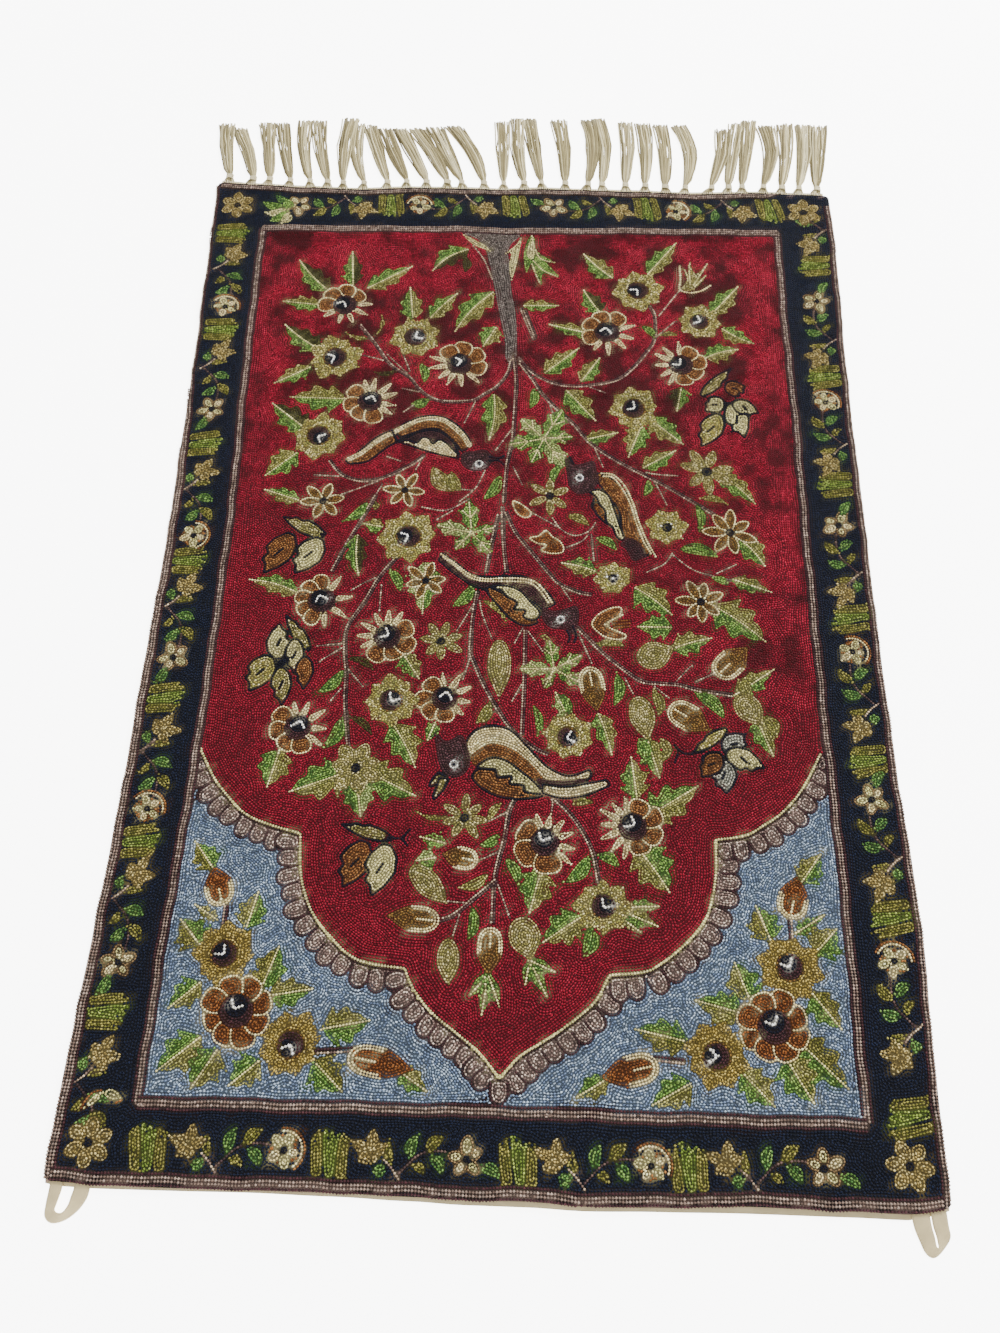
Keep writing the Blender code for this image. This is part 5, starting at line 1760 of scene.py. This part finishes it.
def woven_cotton(name, hex_colour, threads_mm, painted=False):
    """Plain-woven cotton: two crossing sets of threads, each a row of small rounded bumps."""
    material, tree, shader = finish(name, 0.88, 0.05)
    spot = node(tree, "ShaderNodeTexCoord").outputs["Object"]
    around = 1000.0 * math.pi / threads_mm / 10
    warp = node(tree, "ShaderNodeTexWave", {"Vector": spot, "Scale": around, "Distortion": 1.2, "Detail": 1.0},
                bands_direction="X")
    weft = node(tree, "ShaderNodeTexWave", {"Vector": spot, "Scale": around, "Distortion": 1.2, "Detail": 1.0},
                bands_direction="Y")
    weave = node(tree, "ShaderNodeMath", {0: warp.outputs["Fac"], 1: weft.outputs["Fac"]}, operation="MULTIPLY")
    slub = node(tree, "ShaderNodeTexNoise", {"Vector": spot, "Scale": 90.0, "Detail": 3.0})
    tone = node(tree, "ShaderNodeMapRange", {"Value": weave.outputs[0], "To Min": 0.80, "To Max": 1.08})
    cloud = node(tree, "ShaderNodeMapRange",
                 {"Value": slub.outputs["Fac"], "From Min": 0.3, "From Max": 0.7, "To Min": 0.88,
                  "To Max": 1.06})
    both = node(tree, "ShaderNodeMath", {0: tone.outputs["Result"], 1: cloud.outputs["Result"]},
                operation="MULTIPLY")
    if painted:
        base = node(tree, "ShaderNodeAttribute", attribute_name="yarn").outputs["Color"]
    else:
        base = node(tree, "ShaderNodeRGB").outputs[0]
        base.default_value = (*linear(hex_colour), 1)
    wear(tree, shader, base, both.outputs[0], weave.outputs[0], 0.5, 0.0002)
    return material


wool = crewel_wool()
yarn_cotton = cotton_yarn()
lining_cotton = woven_cotton("cotton cloth, plain weave, unbleached", "#C0B18A", 0.5)
ground_cotton = woven_cotton("cotton cloth, shaded by the wool on it", "#6B5750", 0.5, painted=True)
tape_cotton = woven_cotton("cotton tape, plain weave", "#C2B288", 0.45)
for piece in stitched:
    piece.data.materials.append(wool)
cotton_yarns = [fringe_yarns, fringe_knots, heading_cords, heading_loops]
for piece in cotton_yarns:
    piece.data.materials.append(yarn_cotton)
ground.data.materials.append(ground_cotton)
lining.data.materials.append(lining_cotton)
tape_left.data.materials.append(tape_cotton)
tape_right.data.materials.append(tape_cotton)

# %% [markdown]
# ## Tie every piece to the frame
#
# Each new piece rides on the root body, and the solids that the new pieces replace are
# hidden. The ground and the lining are sheets.

# %% Ride and replace
for piece in stitched + cotton_yarns + [ground, lining, tape_left, tape_right]:
    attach(piece, "root")
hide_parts("embroidered_panel")
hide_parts("backing_cloth")
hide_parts("fringe")
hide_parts("loop_left")
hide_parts("loop_right")

# %% [markdown]
# ## The surface, the light and the camera
#
# The panel lies on a plain pale surface, which glows a little so that the background is white
# as in the photograph. One large soft light stands beyond its far right
# corner, as the shading of the tassels shows, and a pale world fills the shadows. The camera
# stands over the near edge and looks forward and down, as someone with a telephone would.

# %% Set the studio and the camera
floor_mesh = bpy.data.meshes.new("floor")
bm = bmesh.new()
bmesh.ops.create_grid(bm, x_segments=1, y_segments=1, size=3.0)
bm.to_mesh(floor_mesh)
bm.free()
floor = add_object("floor", floor_mesh)
paper, tree, shader = finish("matt white board", 0.9, 0.0)
shader.inputs["Base Color"].default_value = (*linear("#FCFCFB"), 1)
shader.inputs["Emission Color"].default_value = (1, 1, 1, 1)
shader.inputs["Emission Strength"].default_value = 6.5
floor_mesh.materials.append(paper)

world = bpy.data.worlds.new("soft studio")
bpy.context.scene.world = world
world.use_nodes = True
sky = world.node_tree.nodes["Background"]
sky.inputs["Color"].default_value = (1.0, 0.985, 0.965, 1)
sky.inputs["Strength"].default_value = 1.5


def soft_light(name, at, size, power):
    """A soft square light that looks at the middle of the panel."""
    lamp = bpy.data.lights.new(name, "AREA")
    lamp.size, lamp.energy = size, power
    made = add_object(name, lamp)
    made.location = at
    x, y, z = at
    made.rotation_euler = (math.atan2(math.hypot(x, y), z), 0, math.atan2(-y, -x) - math.pi / 2)


soft_light("window light", (1.3, 1.5, 1.7), 1.1, 130)
soft_light("fill", (-1.2, -0.9, 1.8), 1.8, 12)

camera = bpy.data.cameras.new("phone camera")
camera.sensor_width = 36.0
camera.lens = 31.0
camera_object = add_object("phone camera", camera)
camera_object.location = (0.009, -0.453, 0.855)
camera_object.rotation_euler = (math.radians(24.4), math.radians(0.44), math.radians(1.56))
bpy.context.scene.camera = camera_object

# %% Update the scene
bpy.context.view_layer.update()
